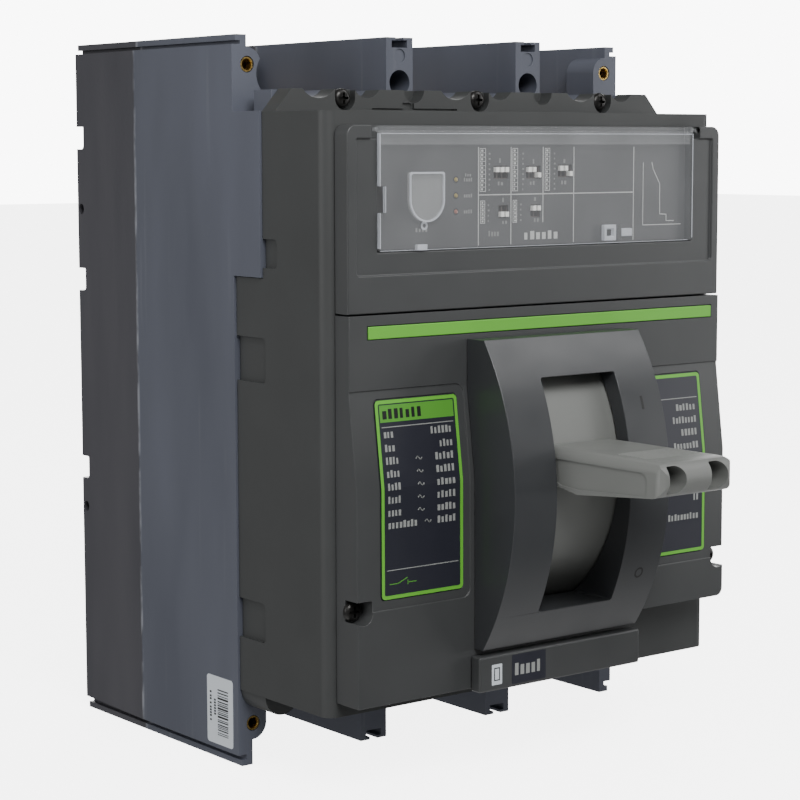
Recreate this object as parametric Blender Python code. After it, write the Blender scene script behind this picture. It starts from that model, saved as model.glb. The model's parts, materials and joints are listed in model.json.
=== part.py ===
"""Three-pole moulded-case circuit breaker with a toggle handle and an electronic trip unit.

Metres, +Z up. Looking at the front, X runs to the right. The rear mounting face is the plane Y = 0
and the front of the breaker looks towards -Y. Heights in the dimensions below are counted from the
lower edge of the rear base; one parent empty then lowers everything by half the base's height, so
that the origin is the centre of the rear mounting face.
"""

import math
from collections import namedtuple

import bmesh
import bpy
from mathutils import Matrix, Vector

MM = 0.001

# ---- Driving dimensions, in millimetres ----
POLE_PITCH = 70.0
POLE_CENTRES = (-POLE_PITCH, 0.0, POLE_PITCH)
WIDTH = 3 * POLE_PITCH
BASE_HEIGHT = 291.0
GAP = 0.3  # clearance between two pieces that rest on each other
BEYOND = 5.0  # how far a cutter reaches past the face that it cuts
OVERLAP = 1.0  # how far a shape reaches into the one that it is fused with
IN_FRONT = -200.0  # a plane in front of the whole base, which its cutters start from

# Rear base
BASE_HALF = WIDTH / 2
BASE_REAR_TAPER = 1.5
BASE_TAPER_START = -53.0
BASE_FRONT = -128.3
BASE_UPPER_FRONT = -147.3
PARTING_STEP = 198.6
EAR_BOTTOM = 264.3
REAR_WALL = 10.0
REAR_PANEL_HALF = 20.0
REAR_PANEL_DEPTH = 2.0
REAR_PANEL_HEIGHTS = ((75.0, 135.0), (155.0, 215.0))
OUTER_WALL = 7.0
CHAMBER_HALF = BASE_HALF - OUTER_WALL
PARTITION_X = POLE_PITCH / 2
PARTITION_HALF = 6.9
PARTITION_TOP = 294.8
PARTITION_FOOT = -4.5
PARTITION_BACK = -5.0
PARTITION_MIDDLE_FRONT = -88.0
TEE_SLOT_SPAN = (-160.0, -REAR_WALL)
TEE_MOUTH_HALF = 2.0
TEE_MOUTH_DEPTH = 1.5
TEE_HALF = 4.0
TEE_DEPTH = 4.2
LOWER_CROSS_WALL = (56.0, 62.0)
UPPER_CROSS_WALL = (231.0, 237.0)
RAIL_LIP = 2.3
RAIL_WEB = (98.0, 101.0)
RAIL_OUTER = 103.3
RAIL_REAR = -2.8
RAIL_ROOT = 6.0
UPPER_BAR = (BASE_UPPER_FRONT, -135.0)
LOWER_BAR = (BASE_FRONT, -118.0)
LOWER_BAR_BOTTOM = 30.0
MOUNTING_HOLE_RADIUS = 3.25
MOUNTING_CHANNEL_RADIUS = 5.2
MOUNTING_CHANNEL_END = -20.0
UPPER_MOUNTING_Z = 276.3
LOWER_MOUNTING_Z = BASE_HEIGHT - UPPER_MOUNTING_Z
INSERT_X = 97.6
INSERT_HEIGHTS = (12.8, 283.1)
INSERT_RADIUS = 3.0
INSERT_BORE = 1.9
INSERT_LENGTH = 12.0
EAR_RADIUS = 7.0
EAR_DEPTH = 18.0
LOWER_EAR_TOP = 50.0
UPPER_EAR_FOOT = 240.0
NOTCH_X = (94.0, 110.0)
SQUARE_NOTCH_FRONT = -6.8
SQUARE_NOTCHES = ((249.3, 259.1), (186.4, 196.4), (101.4, 111.5))
ROUND_NOTCH_Y = -4.0
ROUND_NOTCH_RADIUS = 2.3
ROUND_NOTCHES = (222.8, 88.6)

# Main housing
HOUSING_HALF = 104.0
HOUSING_FRONT = -190.0
HOUSING_BOTTOM = 28.0
HOUSING_TOP = 264.0
HOUSING_WALL = 4.0
HOUSING_CORNER = 5.0
SHOULDER_TOP = 273.0
SHOULDER_HALF = 96.0
SHOULDER_FRONT = -157.0
LOBE_X = 95.0
LOBE_RADIUS = 8.5
LOBE_FRONT = -146.0
SIDE_POCKET_DEPTH = 1.5
# Each shallow pocket in the side walls: its front edge, its back edge and its heights.
SIDE_POCKETS = (
    (-157.4, -140.0, (202.5, 214.0)),
    (-148.9, -120.0, (156.4, 174.5)),
    (-147.3, -120.0, (50.5, 66.8)),
)
# Each round channel across the shoulder: its offset from the pole, its height and its radius.
SCALLOPS = ((-13.0, 279.5, 10.2), (11.0, 277.0, 7.4))
SCALLOP_SPAN = (-170.0, -120.0)

# Front covers
COVER_HALF = 100.0
COVER_BACK = HOUSING_FRONT - GAP
TRIP_COVER_FRONT = -198.7
TRIP_COVER_Z = (186.5, 258.5)
FRONT_COVER_Z = (34.0, 185.9)
FRONT_COVER_RIGHT_BOTTOM = 54.0
FASCIA_KNEES = ((119.0, -204.2), (156.0, -199.3))
FASCIA_LOW_Y = -204.5
COVER_WALL = 3.0
COVER_HOLLOW_HALF = 88.0
TRIP_RECESS_X = (-95.5, 96.0)
TRIP_RECESS_Z = (201.0, 253.3)
TRIP_RECESS_DEPTH = 1.0
TRIP_COVER_CORNER = 4.0
LABEL_X = (47.2, 88.8)
LABEL_Z = (75.1, 153.4)
LABEL_RECESS = 0.8
LABEL_INSET = 0.4
LABEL_THICKNESS = 0.4
STRIPE_X = (-91.3, 95.7)
STRIPE_Z = (176.7, 181.6)
STRIPE_FLOOR = -198.7
STRIPE_FRONT = -199.6

# Handle, its shroud and its pivot
PIVOT_Y = -152.5
PIVOT_Z = 119.0
HANDLE_UP = 20.0  # degrees from the rest position to the upper stop
HANDLE_HALF = 19.3
HANDLE_AXIS_Z = 125.1
HANDLE_TIP_RADIUS = 7.0
HANDLE_TIP_CENTRE = -280.3
HANDLE_TOP_Z = 132.0
HANDLE_ROOT_Z = 116.6
HANDLE_THROAT = ((-240.0, 114.6), (-229.0, 116.5))
HANDLE_HOLE_X = 11.2
HANDLE_HOLE_RADIUS = 5.2
HANDLE_HOLE_END = -258.0
SHIELD_RADIUS = 68.5
SHIELD_THICKNESS = 2.0
SHIELD_HALF = 27.0
SHIELD_ANGLES = (-64.0, 66.0)
SHROUD_HALF = 42.0
SHROUD_Z = (50.0, 174.5)
SHROUD_CENTRE = (-119.2, 112.3)
SHROUD_RADIUS = 110.0
SHROUD_WALL = 3.5
SHROUD_WINDOW_HALF = 20.0
SHROUD_WINDOW_Z = (64.4, 159.0)
COVER_OPENING_HALF = 30.0
HOUSING_OPENING_HALF = 31.0
COVER_OPENING_Z = (56.0, 172.3)
HOUSING_OPENING_Z = (46.0, 186.0)
TAB_Z = (33.0, 47.5)
TAB_HALF = 44.0
TAB_FRONT = -210.5

# Trip unit face
WINDOW_X = (-84.5, 84.2)
WINDOW_Z = (210.2, 256.4)
WINDOW_THICKNESS = 1.5
WINDOW_HINGE = (-197.2, 256.9)
WINDOW_ROLL_RADIUS = 1.4
PANEL_FRONT = -194.1
PANEL_BACK = -193.3
FLOOR_FRONT = -193.0
WINDOW_PIN_RADIUS = 0.8
WINDOW_PIN_X = (-86.8, 86.5)
PANEL_Z = (210.6, 252.0)
MODULE_FRONT = HOUSING_FRONT + HOUSING_WALL + GAP
MODULE_BACK = -156.0
MODULE_HALF = 84.0
MODULE_Z = (194.0, 249.5)
TRIP_OPENING_HALF = 86.0
TRIP_OPENING_Z = (204.0, 250.0)
BOARD_X = (-26.0, 22.5)
BOARD_Z = (218.5, 246.0)
SWITCH_PITCH = 2.6
SWITCH_WIDTH = 1.6
SWITCH_HEIGHT = 2.0
SWITCH_TRAVEL = 2.2
SWITCH_FRONT = -195.2
SWITCH_BACK = -190.4
SWITCH_CLEARANCE = 0.15
BANK_SLOT_HALF = 2.6
FACE_DETAIL_DEPTH = 2.2
SOCKET_COVER_X = (-68.2, -50.8)
SOCKET_COVER_TOP = 240.4
SOCKET_COVER_CENTRE_Z = 229.6
LUG_X = (34.9, 51.2)
LUG_Z = (211.0, 217.7)
LUG_HOLE = (38.2, 214.3)
LUG_HOLE_RADIUS = 1.6
# Each bank: name, centre X, centre Z and, for each of its switches, whether it rests up.
SWITCH_BANKS = (
    ("long_time_current", -19.9, 239.9, (True, True, True)),
    ("long_time_delay", -2.7, 239.8, (True, True, False)),
    ("short_time_current", 14.6, 240.2, (True, True, False)),
    ("short_time_delay", -18.6, 224.2, (False, False)),
    ("instantaneous", -1.5, 224.2, (True, True)),
)

# Current path
BAR_HALF = 22.0
BAR_Y = (-56.0, -48.0)
BAR_SLOT_MARGIN = 5.0
TERMINAL_SEAT = BAR_Y[1] + GAP
NUT_POCKET_RADIUS = 11.0
NUT_POCKET_DEPTH = 16.0
LINE_BAR_Z = (166.0, 287.0)
LOAD_BAR_Z = (4.0, 98.0)
TERMINAL_HOLE_RADIUS = 6.75
LINE_HOLE_Z = 265.0
LOAD_HOLE_Z = 26.0
PAD_RISE = 1.0
LINE_PAD_Z = (240.0, LINE_BAR_Z[1])
LOAD_PAD_Z = (LOAD_BAR_Z[0], 53.0)
CONTACT_HALF = 12.0
CONTACT_Z = (168.0, 181.0)
CONTACT_FACE = -58.5
SHAFT_CENTRE = (-90.0, 112.0)
SHAFT_RADIUS = 12.0
SHAFT_HALF = 97.0
SHAFT_CLEARANCE = 0.9
BEARING_SPAN = (-60.0, 60.0)
CONTACT_ARM_HALF = 13.0
CONTACT_RATIO = 0.5
CONTACT_REST_ANGLE = HANDLE_UP * CONTACT_RATIO
# Side view of a moving contact with the contacts closed.
CONTACT_OUTLINE = (
    (-102.0, 124.6),
    (-78.0, 124.6),
    (-65.0, 163.0),
    (-59.0, 168.0),
    (-59.0, 180.0),
    (-66.0, 181.0),
    (-76.0, 166.0),
    (-98.0, 132.0),
)
CHUTE_HALF = 24.0
CHUTE_Y = (-122.0, -62.0)
CHUTE_Z = (188.5, 228.0)
CHUTE_SLOTS = 6
CHUTE_CHEEK = 2.5
TRANSFORMER_HALF = 27.0
TRANSFORMER_Y = (-70.0, -34.0)
TRANSFORMER_Z = (66.0, 91.0)

# Operating mechanism
PLATE_X = (17.0, 19.5)
# Side view of the two plates, with a step that clears the current transformers.
PLATE_OUTLINE = (
    (-166.0, 84.0),
    (-152.0, 70.0),
    (-74.0, 70.0),
    (-74.0, 96.0),
    (-60.0, 104.0),
    (-60.0, 160.0),
    (-76.0, 175.0),
    (-152.0, 175.0),
    (-166.0, 160.0),
)
CROSS_PINS = ((-122.0, 166.0), (-150.0, 82.0), (-104.0, 78.0))
CROSS_PIN_RADIUS = 3.0
YOKE_ARM_X = (19.8, 22.8)
YOKE_ARM_Z = (113.0, 131.0)
YOKE_EYE_RADIUS = 9.0
YOKE_BRIDGE_Y = (-214.5, -211.0)
YOKE_ARM_END = -213.0
PIN_RADIUS = 4.0
PIN_OVERHANG = 2.0
TRIP_BAR_CENTRE = (-139.0, 205.0)
TRIP_BAR_RADIUS = 4.0
TRIP_BAR_HALF = 60.0
TRIP_FLAG_HALF = 8.0
TRIP_FLAG_HEIGHT = 16.0
TRIP_FLAG_THICKNESS = 3.0

# Screws
SCREW_HEAD_RADIUS = 3.9
SCREW_HEAD_HEIGHT = 2.6
SCREW_SHANK_RADIUS = 2.0
SCREW_SHANK_LENGTH = 12.0
SCREW_SLOT_HALF = (2.3, 0.5)
SCREW_SLOT_DEPTH = 1.6
TOP_SCREW_POCKET = 1.1
TOP_SCREW_Z = 269.5
TOP_SCREW_SEAT = -153.7
FRONT_SCREW_X = 97.3
FRONT_SCREW_Z = 71.3
FRONT_SCREW_SEAT = -196.2

Prism = namedtuple("Prism", "axis outline span")


# ---- Outlines: lists of 2-D points ----


def rectangle(first, second):
    """The four corners of a rectangle, from its span along each axis."""
    low, high = second
    return [(first[0], low), (first[1], low), (first[1], high), (first[0], high)]


def arc(centre, radius, start, end, steps):
    """Points along an arc, with its angles in degrees counted from the first axis towards the second."""
    angles = [math.radians(start + (end - start) * step / steps) for step in range(steps + 1)]
    return [(centre[0] + radius * math.cos(a), centre[1] + radius * math.sin(a)) for a in angles]


def circle(centre, radius, sides):
    """A closed polygon with this many sides."""
    return arc(centre, radius, 0, 360, sides)[:-1]


def mirrored(points):
    """The points on the other side of the middle plane."""
    return [(-x, z) for x, z in points]


# ---- Prisms and the solids made from them ----


def box(x, y, z):
    """A block, from its span along each axis."""
    return Prism("X", rectangle(y, z), x)


def cylinder(axis, centre, radius, span, sides=24):
    """A round bar along the axis, with its centre in the plane across that axis."""
    return Prism(axis, circle(centre, radius, sides), span)


def placed(axis, point, distance):
    """The 3-D place of a 2-D outline point, at this distance along the prism's axis."""
    first, second = point
    if axis == "X":
        return (distance, first, second)
    if axis == "Y":
        return (first, distance, second)
    return (first, second, distance)


def add_prism(bm, prism):
    """Adds the two end faces and the side faces of a prism to the bmesh."""
    rings = []
    for distance in prism.span:
        rings.append([bm.verts.new(placed(prism.axis, point, distance)) for point in prism.outline])
    faces = [bm.faces.new(rings[0]), bm.faces.new(rings[1])]
    count = len(prism.outline)
    for index in range(count):
        after = (index + 1) % count
        faces.append(bm.faces.new((rings[0][index], rings[0][after], rings[1][after], rings[1][index])))
    bmesh.ops.recalc_face_normals(bm, faces=faces)


def prism_mesh(name, prism):
    """A mesh in metres from a prism in millimetres."""
    bm = bmesh.new()
    add_prism(bm, prism)
    bmesh.ops.scale(bm, vec=(MM, MM, MM), verts=bm.verts)
    mesh = bpy.data.meshes.new(name)
    bm.to_mesh(mesh)
    bm.free()
    return mesh


def new_object(name, mesh, parent):
    """An object in the scene, or an empty where there is no mesh."""
    piece = bpy.data.objects.new(name, mesh)
    bpy.context.scene.collection.objects.link(piece)
    piece.parent = parent
    return piece


def solid(name, material, prism, frame):
    """A sub-part that starts as one prism."""
    piece = new_object(name, prism_mesh(name, prism), frame)
    piece.data.materials.append(material)
    return piece


def combine(piece, frame, operation, prisms):
    """Booleans the prisms, one modifier each, with the piece. Each helper is left out of renders."""
    for prism in prisms:
        label = f"{piece.name}_{operation.lower()}_{len(piece.modifiers)}"
        helper = new_object(label, prism_mesh(label, prism), frame)
        helper.hide_render = True
        helper.display_type = "WIRE"
        modifier = piece.modifiers.new(label, "BOOLEAN")
        modifier.operation = operation
        modifier.solver = "EXACT"
        modifier.object = helper


def cut(piece, frame, *prisms):
    """Takes the prisms away from the piece."""
    combine(piece, frame, "DIFFERENCE", prisms)


def fuse(piece, frame, *prisms):
    """Joins the prisms to the piece."""
    combine(piece, frame, "UNION", prisms)


def bevel(piece, width, segments=1):
    """Rounds the sharp edges by this width in millimetres."""
    modifier = piece.modifiers.new("edge_rounding", "BEVEL")
    modifier.width = width * MM
    modifier.segments = segments
    modifier.limit_method = "ANGLE"
    modifier.angle_limit = math.radians(40)


def shade_round(piece):
    """Smooth shading, with real edges kept sharp."""
    piece.data.shade_smooth()
    piece.data.set_sharp_from_angle(angle=math.radians(35))


def pivot(name, frame, point):
    """An empty on a joint's axis, which the moving pieces are parented to."""
    empty = new_object(name, None, frame)
    empty.location = Vector(point) * MM
    return empty


def hang_on(piece, joint):
    """Parents the piece to the joint's empty and keeps it where it is."""
    piece.data.transform(Matrix.Translation(-joint.location))
    piece.parent = joint


def sides(low, high):
    """The span on the right side and its mirror image on the left."""
    return ((low, high), (-high, -low))


def pole_span(pole, half):
    """The span of this half width around a centre."""
    return (pole - half, pole + half)


# ---- Scene and materials ----


def clear_scene():
    """Removes every object that the file starts with."""
    for piece in list(bpy.data.objects):
        bpy.data.objects.remove(piece, do_unlink=True)


def make_material(name, colour, roughness, metallic=0.0, transmission=0.0):
    material = bpy.data.materials.new(name)
    material.use_nodes = True
    shader = material.node_tree.nodes["Principled BSDF"]
    shader.inputs["Base Color"].default_value = (*colour, 1.0)
    shader.inputs["Roughness"].default_value = roughness
    shader.inputs["Metallic"].default_value = metallic
    shader.inputs["Transmission Weight"].default_value = transmission
    material.diffuse_color = (*colour, 1.0)
    return material


def make_materials():
    """The finishes, by the short names that the sub-parts ask for."""
    return {
        "base": make_material("blue_grey_moulding", (0.085, 0.095, 0.125), 0.55),
        "housing": make_material("dark_grey_moulding", (0.045, 0.048, 0.047), 0.5),
        "fascia": make_material("fascia_grey_plastic", (0.075, 0.08, 0.082), 0.5),
        "shroud": make_material("satin_grey_plastic", (0.09, 0.095, 0.1), 0.4),
        "handle": make_material("light_grey_plastic", (0.26, 0.27, 0.26), 0.45),
        "green": make_material("green_inlay", (0.1, 0.46, 0.04), 0.4),
        "label": make_material("label_film", (0.035, 0.04, 0.055), 0.4),
        "clear": make_material("clear_window_plastic", (0.9, 0.93, 0.92), 0.1, transmission=0.9),
        "panel": make_material("panel_grey_film", (0.2, 0.21, 0.21), 0.5),
        "white": make_material("white_actuator_plastic", (0.8, 0.8, 0.78), 0.4),
        "black": make_material("black_steel", (0.02, 0.02, 0.02), 0.35, 0.6),
        "brass": make_material("brass_insert", (0.65, 0.42, 0.12), 0.3, 1.0),
        "copper": make_material("silvered_copper", (0.72, 0.6, 0.5), 0.3, 1.0),
        "steel": make_material("zinc_plated_steel", (0.55, 0.56, 0.58), 0.35, 1.0),
        "phenolic": make_material("phenolic_moulding", (0.05, 0.035, 0.03), 0.6),
    }


# ---- Rear base ----


def base_plan():
    """The base seen from above, with its sides drawn in a little towards the rear."""
    rear = BASE_HALF - BASE_REAR_TAPER
    right = [(rear, 0.0), (BASE_HALF, BASE_TAPER_START), (BASE_HALF, BASE_FRONT)]
    return right + [(-x, y) for x, y in reversed(right)]


def pole_chambers(y, z):
    """One box for each pole, between the partitions and the outer walls."""
    inner = PARTITION_X - PARTITION_HALF
    outer = PARTITION_X + PARTITION_HALF
    spans = (*sides(outer, CHAMBER_HALF), (-inner, inner))
    return [box(x, y, z) for x in spans]


def shoulder_scallops():
    """Round channels along Y in the top edge of the shoulder, the same beside each pole."""
    channels = []
    for pole in POLE_CENTRES:
        for offset, height, radius in SCALLOPS:
            channels.append(cylinder("Y", (pole + offset, height), radius, SCALLOP_SPAN))
    span = (SCALLOP_SPAN[0], SHOULDER_FRONT + 7.0)
    for side in (-1, 1):
        centre = (side * PARTITION_X, SHOULDER_TOP)
        channels.append(cylinder("Y", centre, MOUNTING_CHANNEL_RADIUS, span, 20))
    return channels


def tee_slots():
    """Slots for the phase barriers, open at the top and foot of each partition."""
    slots = []
    for side in (-1, 1):
        x = side * PARTITION_X
        for end, inward in ((PARTITION_TOP, -1), (PARTITION_FOOT, 1)):
            mouth = sorted((end - 3.0 * inward, end + TEE_MOUTH_DEPTH * inward))
            chamber = sorted((end + 1.2 * inward, end + TEE_DEPTH * inward))
            slots.append(box(pole_span(x, TEE_MOUTH_HALF), TEE_SLOT_SPAN, mouth))
            slots.append(box(pole_span(x, TEE_HALF), TEE_SLOT_SPAN, chamber))
    return slots


def edge_rails():
    """The grooved rail along the top and foot of each outer wall."""
    rails = []
    span = (BASE_FRONT, RAIL_REAR)
    for web, lip in zip(sides(*RAIL_WEB), sides(RAIL_WEB[0], RAIL_OUTER)):
        rails.append(box(web, span, (BASE_HEIGHT - RAIL_ROOT, PARTITION_TOP)))
        rails.append(box(lip, span, (PARTITION_TOP - RAIL_LIP, PARTITION_TOP + 0.2)))
        rails.append(box(web, span, (PARTITION_FOOT, RAIL_ROOT)))
        rails.append(box(lip, span, (PARTITION_FOOT - 0.2, PARTITION_FOOT + RAIL_LIP)))
    return rails


def insert_ears():
    """The bosses that hold the brass inserts, inside the front edge of the outer walls."""
    ears = []
    span = (BASE_FRONT, BASE_FRONT + EAR_DEPTH)
    for side in (-1, 1):
        x = side * (BASE_HALF - EAR_RADIUS)
        ears.append(box(pole_span(x, EAR_RADIUS), span, (UPPER_EAR_FOOT, INSERT_HEIGHTS[1])))
        ears.append(box(pole_span(x, EAR_RADIUS), span, (INSERT_HEIGHTS[0], LOWER_EAR_TOP)))
        ears += [cylinder("Y", (x, z), EAR_RADIUS, span, 20) for z in INSERT_HEIGHTS]
    return ears


def rear_notches():
    """Notches in the rear corner of each side panel: square ones and round ones."""
    notches = []
    for x in sides(*NOTCH_X):
        for z in SQUARE_NOTCHES:
            notches.append(box(x, (SQUARE_NOTCH_FRONT, BEYOND), z))
        for z in ROUND_NOTCHES:
            notches.append(cylinder("X", (ROUND_NOTCH_Y, z), ROUND_NOTCH_RADIUS, x, 12))
    return notches


def mounting_holes():
    """Screw holes through the partitions' ends, each with a wide channel in front for the head."""
    holes = []
    through = (MOUNTING_CHANNEL_END - 2 * BEYOND, BEYOND)
    channel = (TEE_SLOT_SPAN[0], MOUNTING_CHANNEL_END)
    for side in (-1, 1):
        for z in (LOWER_MOUNTING_Z, UPPER_MOUNTING_Z):
            centre = (side * PARTITION_X, z)
            holes.append(cylinder("Y", centre, MOUNTING_HOLE_RADIUS, through, 16))
            holes.append(cylinder("Y", centre, MOUNTING_CHANNEL_RADIUS, channel, 20))
    return holes


def cut_chambers(base, frame):
    """The terminal chambers at the foot and the top, and the hollow between them."""
    below = PARTITION_FOOT - BEYOND
    above = PARTITION_TOP + BEYOND
    middle = (LOWER_CROSS_WALL[1], UPPER_CROSS_WALL[0])
    terminal_depth = (IN_FRONT, TERMINAL_SEAT)
    cut(base, frame, *pole_chambers(terminal_depth, (below, LOWER_CROSS_WALL[0])))
    cut(base, frame, *pole_chambers(terminal_depth, (UPPER_CROSS_WALL[1], above)))
    cut(base, frame, *pole_chambers((IN_FRONT, -REAR_WALL), middle))
    cut(base, frame, box((-CHAMBER_HALF, CHAMBER_HALF), (IN_FRONT, PARTITION_MIDDLE_FRONT), middle))


def add_partitions(base, frame):
    """The partition ends that stand out past the base, and the bars across the front."""
    for side in (-1, 1):
        x = pole_span(side * PARTITION_X, PARTITION_HALF)
        upper = (UPPER_CROSS_WALL[0], PARTITION_TOP)
        lower = (PARTITION_FOOT, LOWER_CROSS_WALL[1])
        fuse(base, frame, box(x, (BASE_UPPER_FRONT, PARTITION_BACK), upper))
        fuse(base, frame, box(x, (BASE_FRONT, PARTITION_BACK), lower))
    across = (-CHAMBER_HALF - OVERLAP, CHAMBER_HALF + OVERLAP)
    fuse(base, frame, box(across, UPPER_BAR, (UPPER_CROSS_WALL[0], SHOULDER_TOP - GAP)))
    fuse(base, frame, box(across, LOWER_BAR, (LOWER_BAR_BOTTOM, LOWER_CROSS_WALL[1])))


def cut_terminal_seats(base, frame):
    """The slots that the copper bars lie in, and a nut pocket behind each bar's hole."""
    nut = (TERMINAL_SEAT - BEYOND, TERMINAL_SEAT + NUT_POCKET_DEPTH)
    slot = (BAR_Y[0] - GAP, TERMINAL_SEAT)
    for pole in POLE_CENTRES:
        for z in (LOAD_HOLE_Z, LINE_HOLE_Z):
            cut(base, frame, cylinder("Y", (pole, z), NUT_POCKET_RADIUS, nut, 6))
        for low, high in (LOWER_CROSS_WALL, UPPER_CROSS_WALL):
            through = (low - BAR_SLOT_MARGIN, high + BAR_SLOT_MARGIN)
            cut(base, frame, box(pole_span(pole, BAR_HALF + GAP), slot, through))


def cut_rear_panels(base, frame):
    """Two shallow panels for each pole in the rear face."""
    for pole in POLE_CENTRES:
        for z in REAR_PANEL_HEIGHTS:
            cut(base, frame, box(pole_span(pole, REAR_PANEL_HALF), (-REAR_PANEL_DEPTH, BEYOND), z))


def cut_base_fastener_holes(base, frame):
    """The holes for the brass inserts and for the three screws in the shoulder."""
    insert = (BASE_FRONT - BEYOND, BASE_FRONT + INSERT_LENGTH + OVERLAP)
    for side in (-1, 1):
        for z in INSERT_HEIGHTS:
            cut(base, frame, cylinder("Y", (side * INSERT_X, z), INSERT_RADIUS + GAP, insert, 20))
    screw = (BASE_UPPER_FRONT - BEYOND, UPPER_BAR[1] + OVERLAP)
    for pole in POLE_CENTRES:
        cut(base, frame, cylinder("Y", (pole, TOP_SCREW_Z), SCREW_SHANK_RADIUS + GAP, screw, 12))


def make_rear_base(frame, materials):
    """The moulding that carries the terminals, with its partitions between the poles."""
    block = Prism("Z", base_plan(), (0.0, BASE_HEIGHT))
    base = solid("rear_base", materials["base"], block, frame)
    for wall in sides(CHAMBER_HALF, BASE_HALF):
        step = (BASE_UPPER_FRONT, BASE_FRONT + OVERLAP)
        fuse(base, frame, box(wall, step, (PARTING_STEP, EAR_BOTTOM)))
    cut_chambers(base, frame)
    add_partitions(base, frame)
    fuse(base, frame, *edge_rails())
    fuse(base, frame, *insert_ears())
    cut(base, frame, *shoulder_scallops())
    cut(base, frame, *tee_slots())
    cut(base, frame, *mounting_holes())
    cut(base, frame, *rear_notches())
    cut_terminal_seats(base, frame)
    cut_rear_panels(base, frame)
    bearing = SHAFT_RADIUS + SHAFT_CLEARANCE
    cut(base, frame, cylinder("X", SHAFT_CENTRE, bearing, BEARING_SPAN))
    cut_base_fastener_holes(base, frame)


def make_inserts(frame, materials):
    """The four brass inserts that a terminal cover is screwed to."""
    span = (BASE_FRONT + GAP, BASE_FRONT + GAP + INSERT_LENGTH)
    for height, z in zip(("lower", "upper"), INSERT_HEIGHTS):
        for hand, side in (("left", -1), ("right", 1)):
            centre = (side * INSERT_X, z)
            name = f"brass_insert_{height}_{hand}"
            sleeve = cylinder("Y", centre, INSERT_RADIUS, span, 16)
            insert = solid(name, materials["brass"], sleeve, frame)
            through = (span[0] - BEYOND, span[1] + BEYOND)
            cut(insert, frame, cylinder("Y", centre, INSERT_BORE, through, 12))


# ---- Housing and front covers ----


def housing_plan():
    """The housing seen from above, with rounded front corners."""
    centre = (HOUSING_HALF - HOUSING_CORNER, HOUSING_FRONT + HOUSING_CORNER)
    plan = arc(centre, HOUSING_CORNER, -90, 0, 4) + [(HOUSING_HALF, BASE_FRONT - GAP)]
    return plan + [(-x, y) for x, y in reversed(plan)]


def shoulder_outline():
    """The raised shoulder seen from the front, with sloping ends."""
    foot = HOUSING_TOP - 6.0
    right = [(HOUSING_HALF, foot), (HOUSING_HALF, HOUSING_TOP), (SHOULDER_HALF, SHOULDER_TOP)]
    return right + mirrored(reversed(right))


def make_main_housing(frame, materials):
    """The shell in front of the base, with the shoulder on top and a lobe at each lower corner."""
    block = Prism("Z", housing_plan(), (HOUSING_BOTTOM, HOUSING_TOP))
    housing = solid("main_housing", materials["housing"], block, frame)
    wide = (-HOUSING_HALF - BEYOND, HOUSING_HALF + BEYOND)
    behind_base = (BASE_UPPER_FRONT - GAP, -100.0)
    cut(housing, frame, box(wide, behind_base, (PARTING_STEP - GAP, SHOULDER_TOP + BEYOND)))
    shoulder = Prism("Y", shoulder_outline(), (SHOULDER_FRONT, BASE_UPPER_FRONT - GAP))
    fuse(housing, frame, shoulder)
    for side in (-1, 1):
        centre = (side * LOBE_X, HOUSING_BOTTOM)
        fuse(housing, frame, cylinder("Y", centre, LOBE_RADIUS, (LOBE_FRONT, BASE_FRONT - GAP), 20))
    cut(housing, frame, *shoulder_scallops())
    half = HOUSING_HALF - HOUSING_WALL
    inner = (HOUSING_BOTTOM + HOUSING_WALL, HOUSING_TOP - HOUSING_WALL)
    cut(housing, frame, box((-half, half), (HOUSING_FRONT + HOUSING_WALL, -100.0), inner))
    front_wall = (HOUSING_FRONT - BEYOND, HOUSING_FRONT + HOUSING_WALL + BEYOND)
    handle_opening = (-HOUSING_OPENING_HALF, HOUSING_OPENING_HALF)
    cut(housing, frame, box(handle_opening, front_wall, HOUSING_OPENING_Z))
    cut(housing, frame, box((-TRIP_OPENING_HALF, TRIP_OPENING_HALF), front_wall, TRIP_OPENING_Z))
    cut_side_pockets(housing, frame)
    cut_top_screw_pockets(housing, frame)
    for side in (-1, 1):
        centre = (side * FRONT_SCREW_X, FRONT_SCREW_Z)
        cut(housing, frame, cylinder("Y", centre, SCREW_SHANK_RADIUS + GAP, front_wall, 12))


def cut_side_pockets(housing, frame):
    """Shallow pockets that run forward from the parting line in both side walls."""
    for x in sides(HOUSING_HALF - SIDE_POCKET_DEPTH, HOUSING_HALF + BEYOND):
        for front, back, z in SIDE_POCKETS:
            cut(housing, frame, box(x, (front, back), z))


def cut_top_screw_pockets(housing, frame):
    """An open-topped pocket around each screw head in the shoulder."""
    pocket = (SHOULDER_FRONT - BEYOND, TOP_SCREW_SEAT + GAP)
    shank = (SHOULDER_FRONT - BEYOND, BASE_UPPER_FRONT + BEYOND)
    for pole in POLE_CENTRES:
        centre = (pole, TOP_SCREW_Z)
        head = SCREW_HEAD_RADIUS + TOP_SCREW_POCKET
        cut(housing, frame, cylinder("Y", centre, head, pocket, 20))
        mouth = (TOP_SCREW_Z, SHOULDER_TOP + BEYOND)
        cut(housing, frame, box(pole_span(pole, SCREW_HEAD_RADIUS), pocket, mouth))
        cut(housing, frame, cylinder("Y", centre, SCREW_SHANK_RADIUS + GAP, shank, 12))


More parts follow.
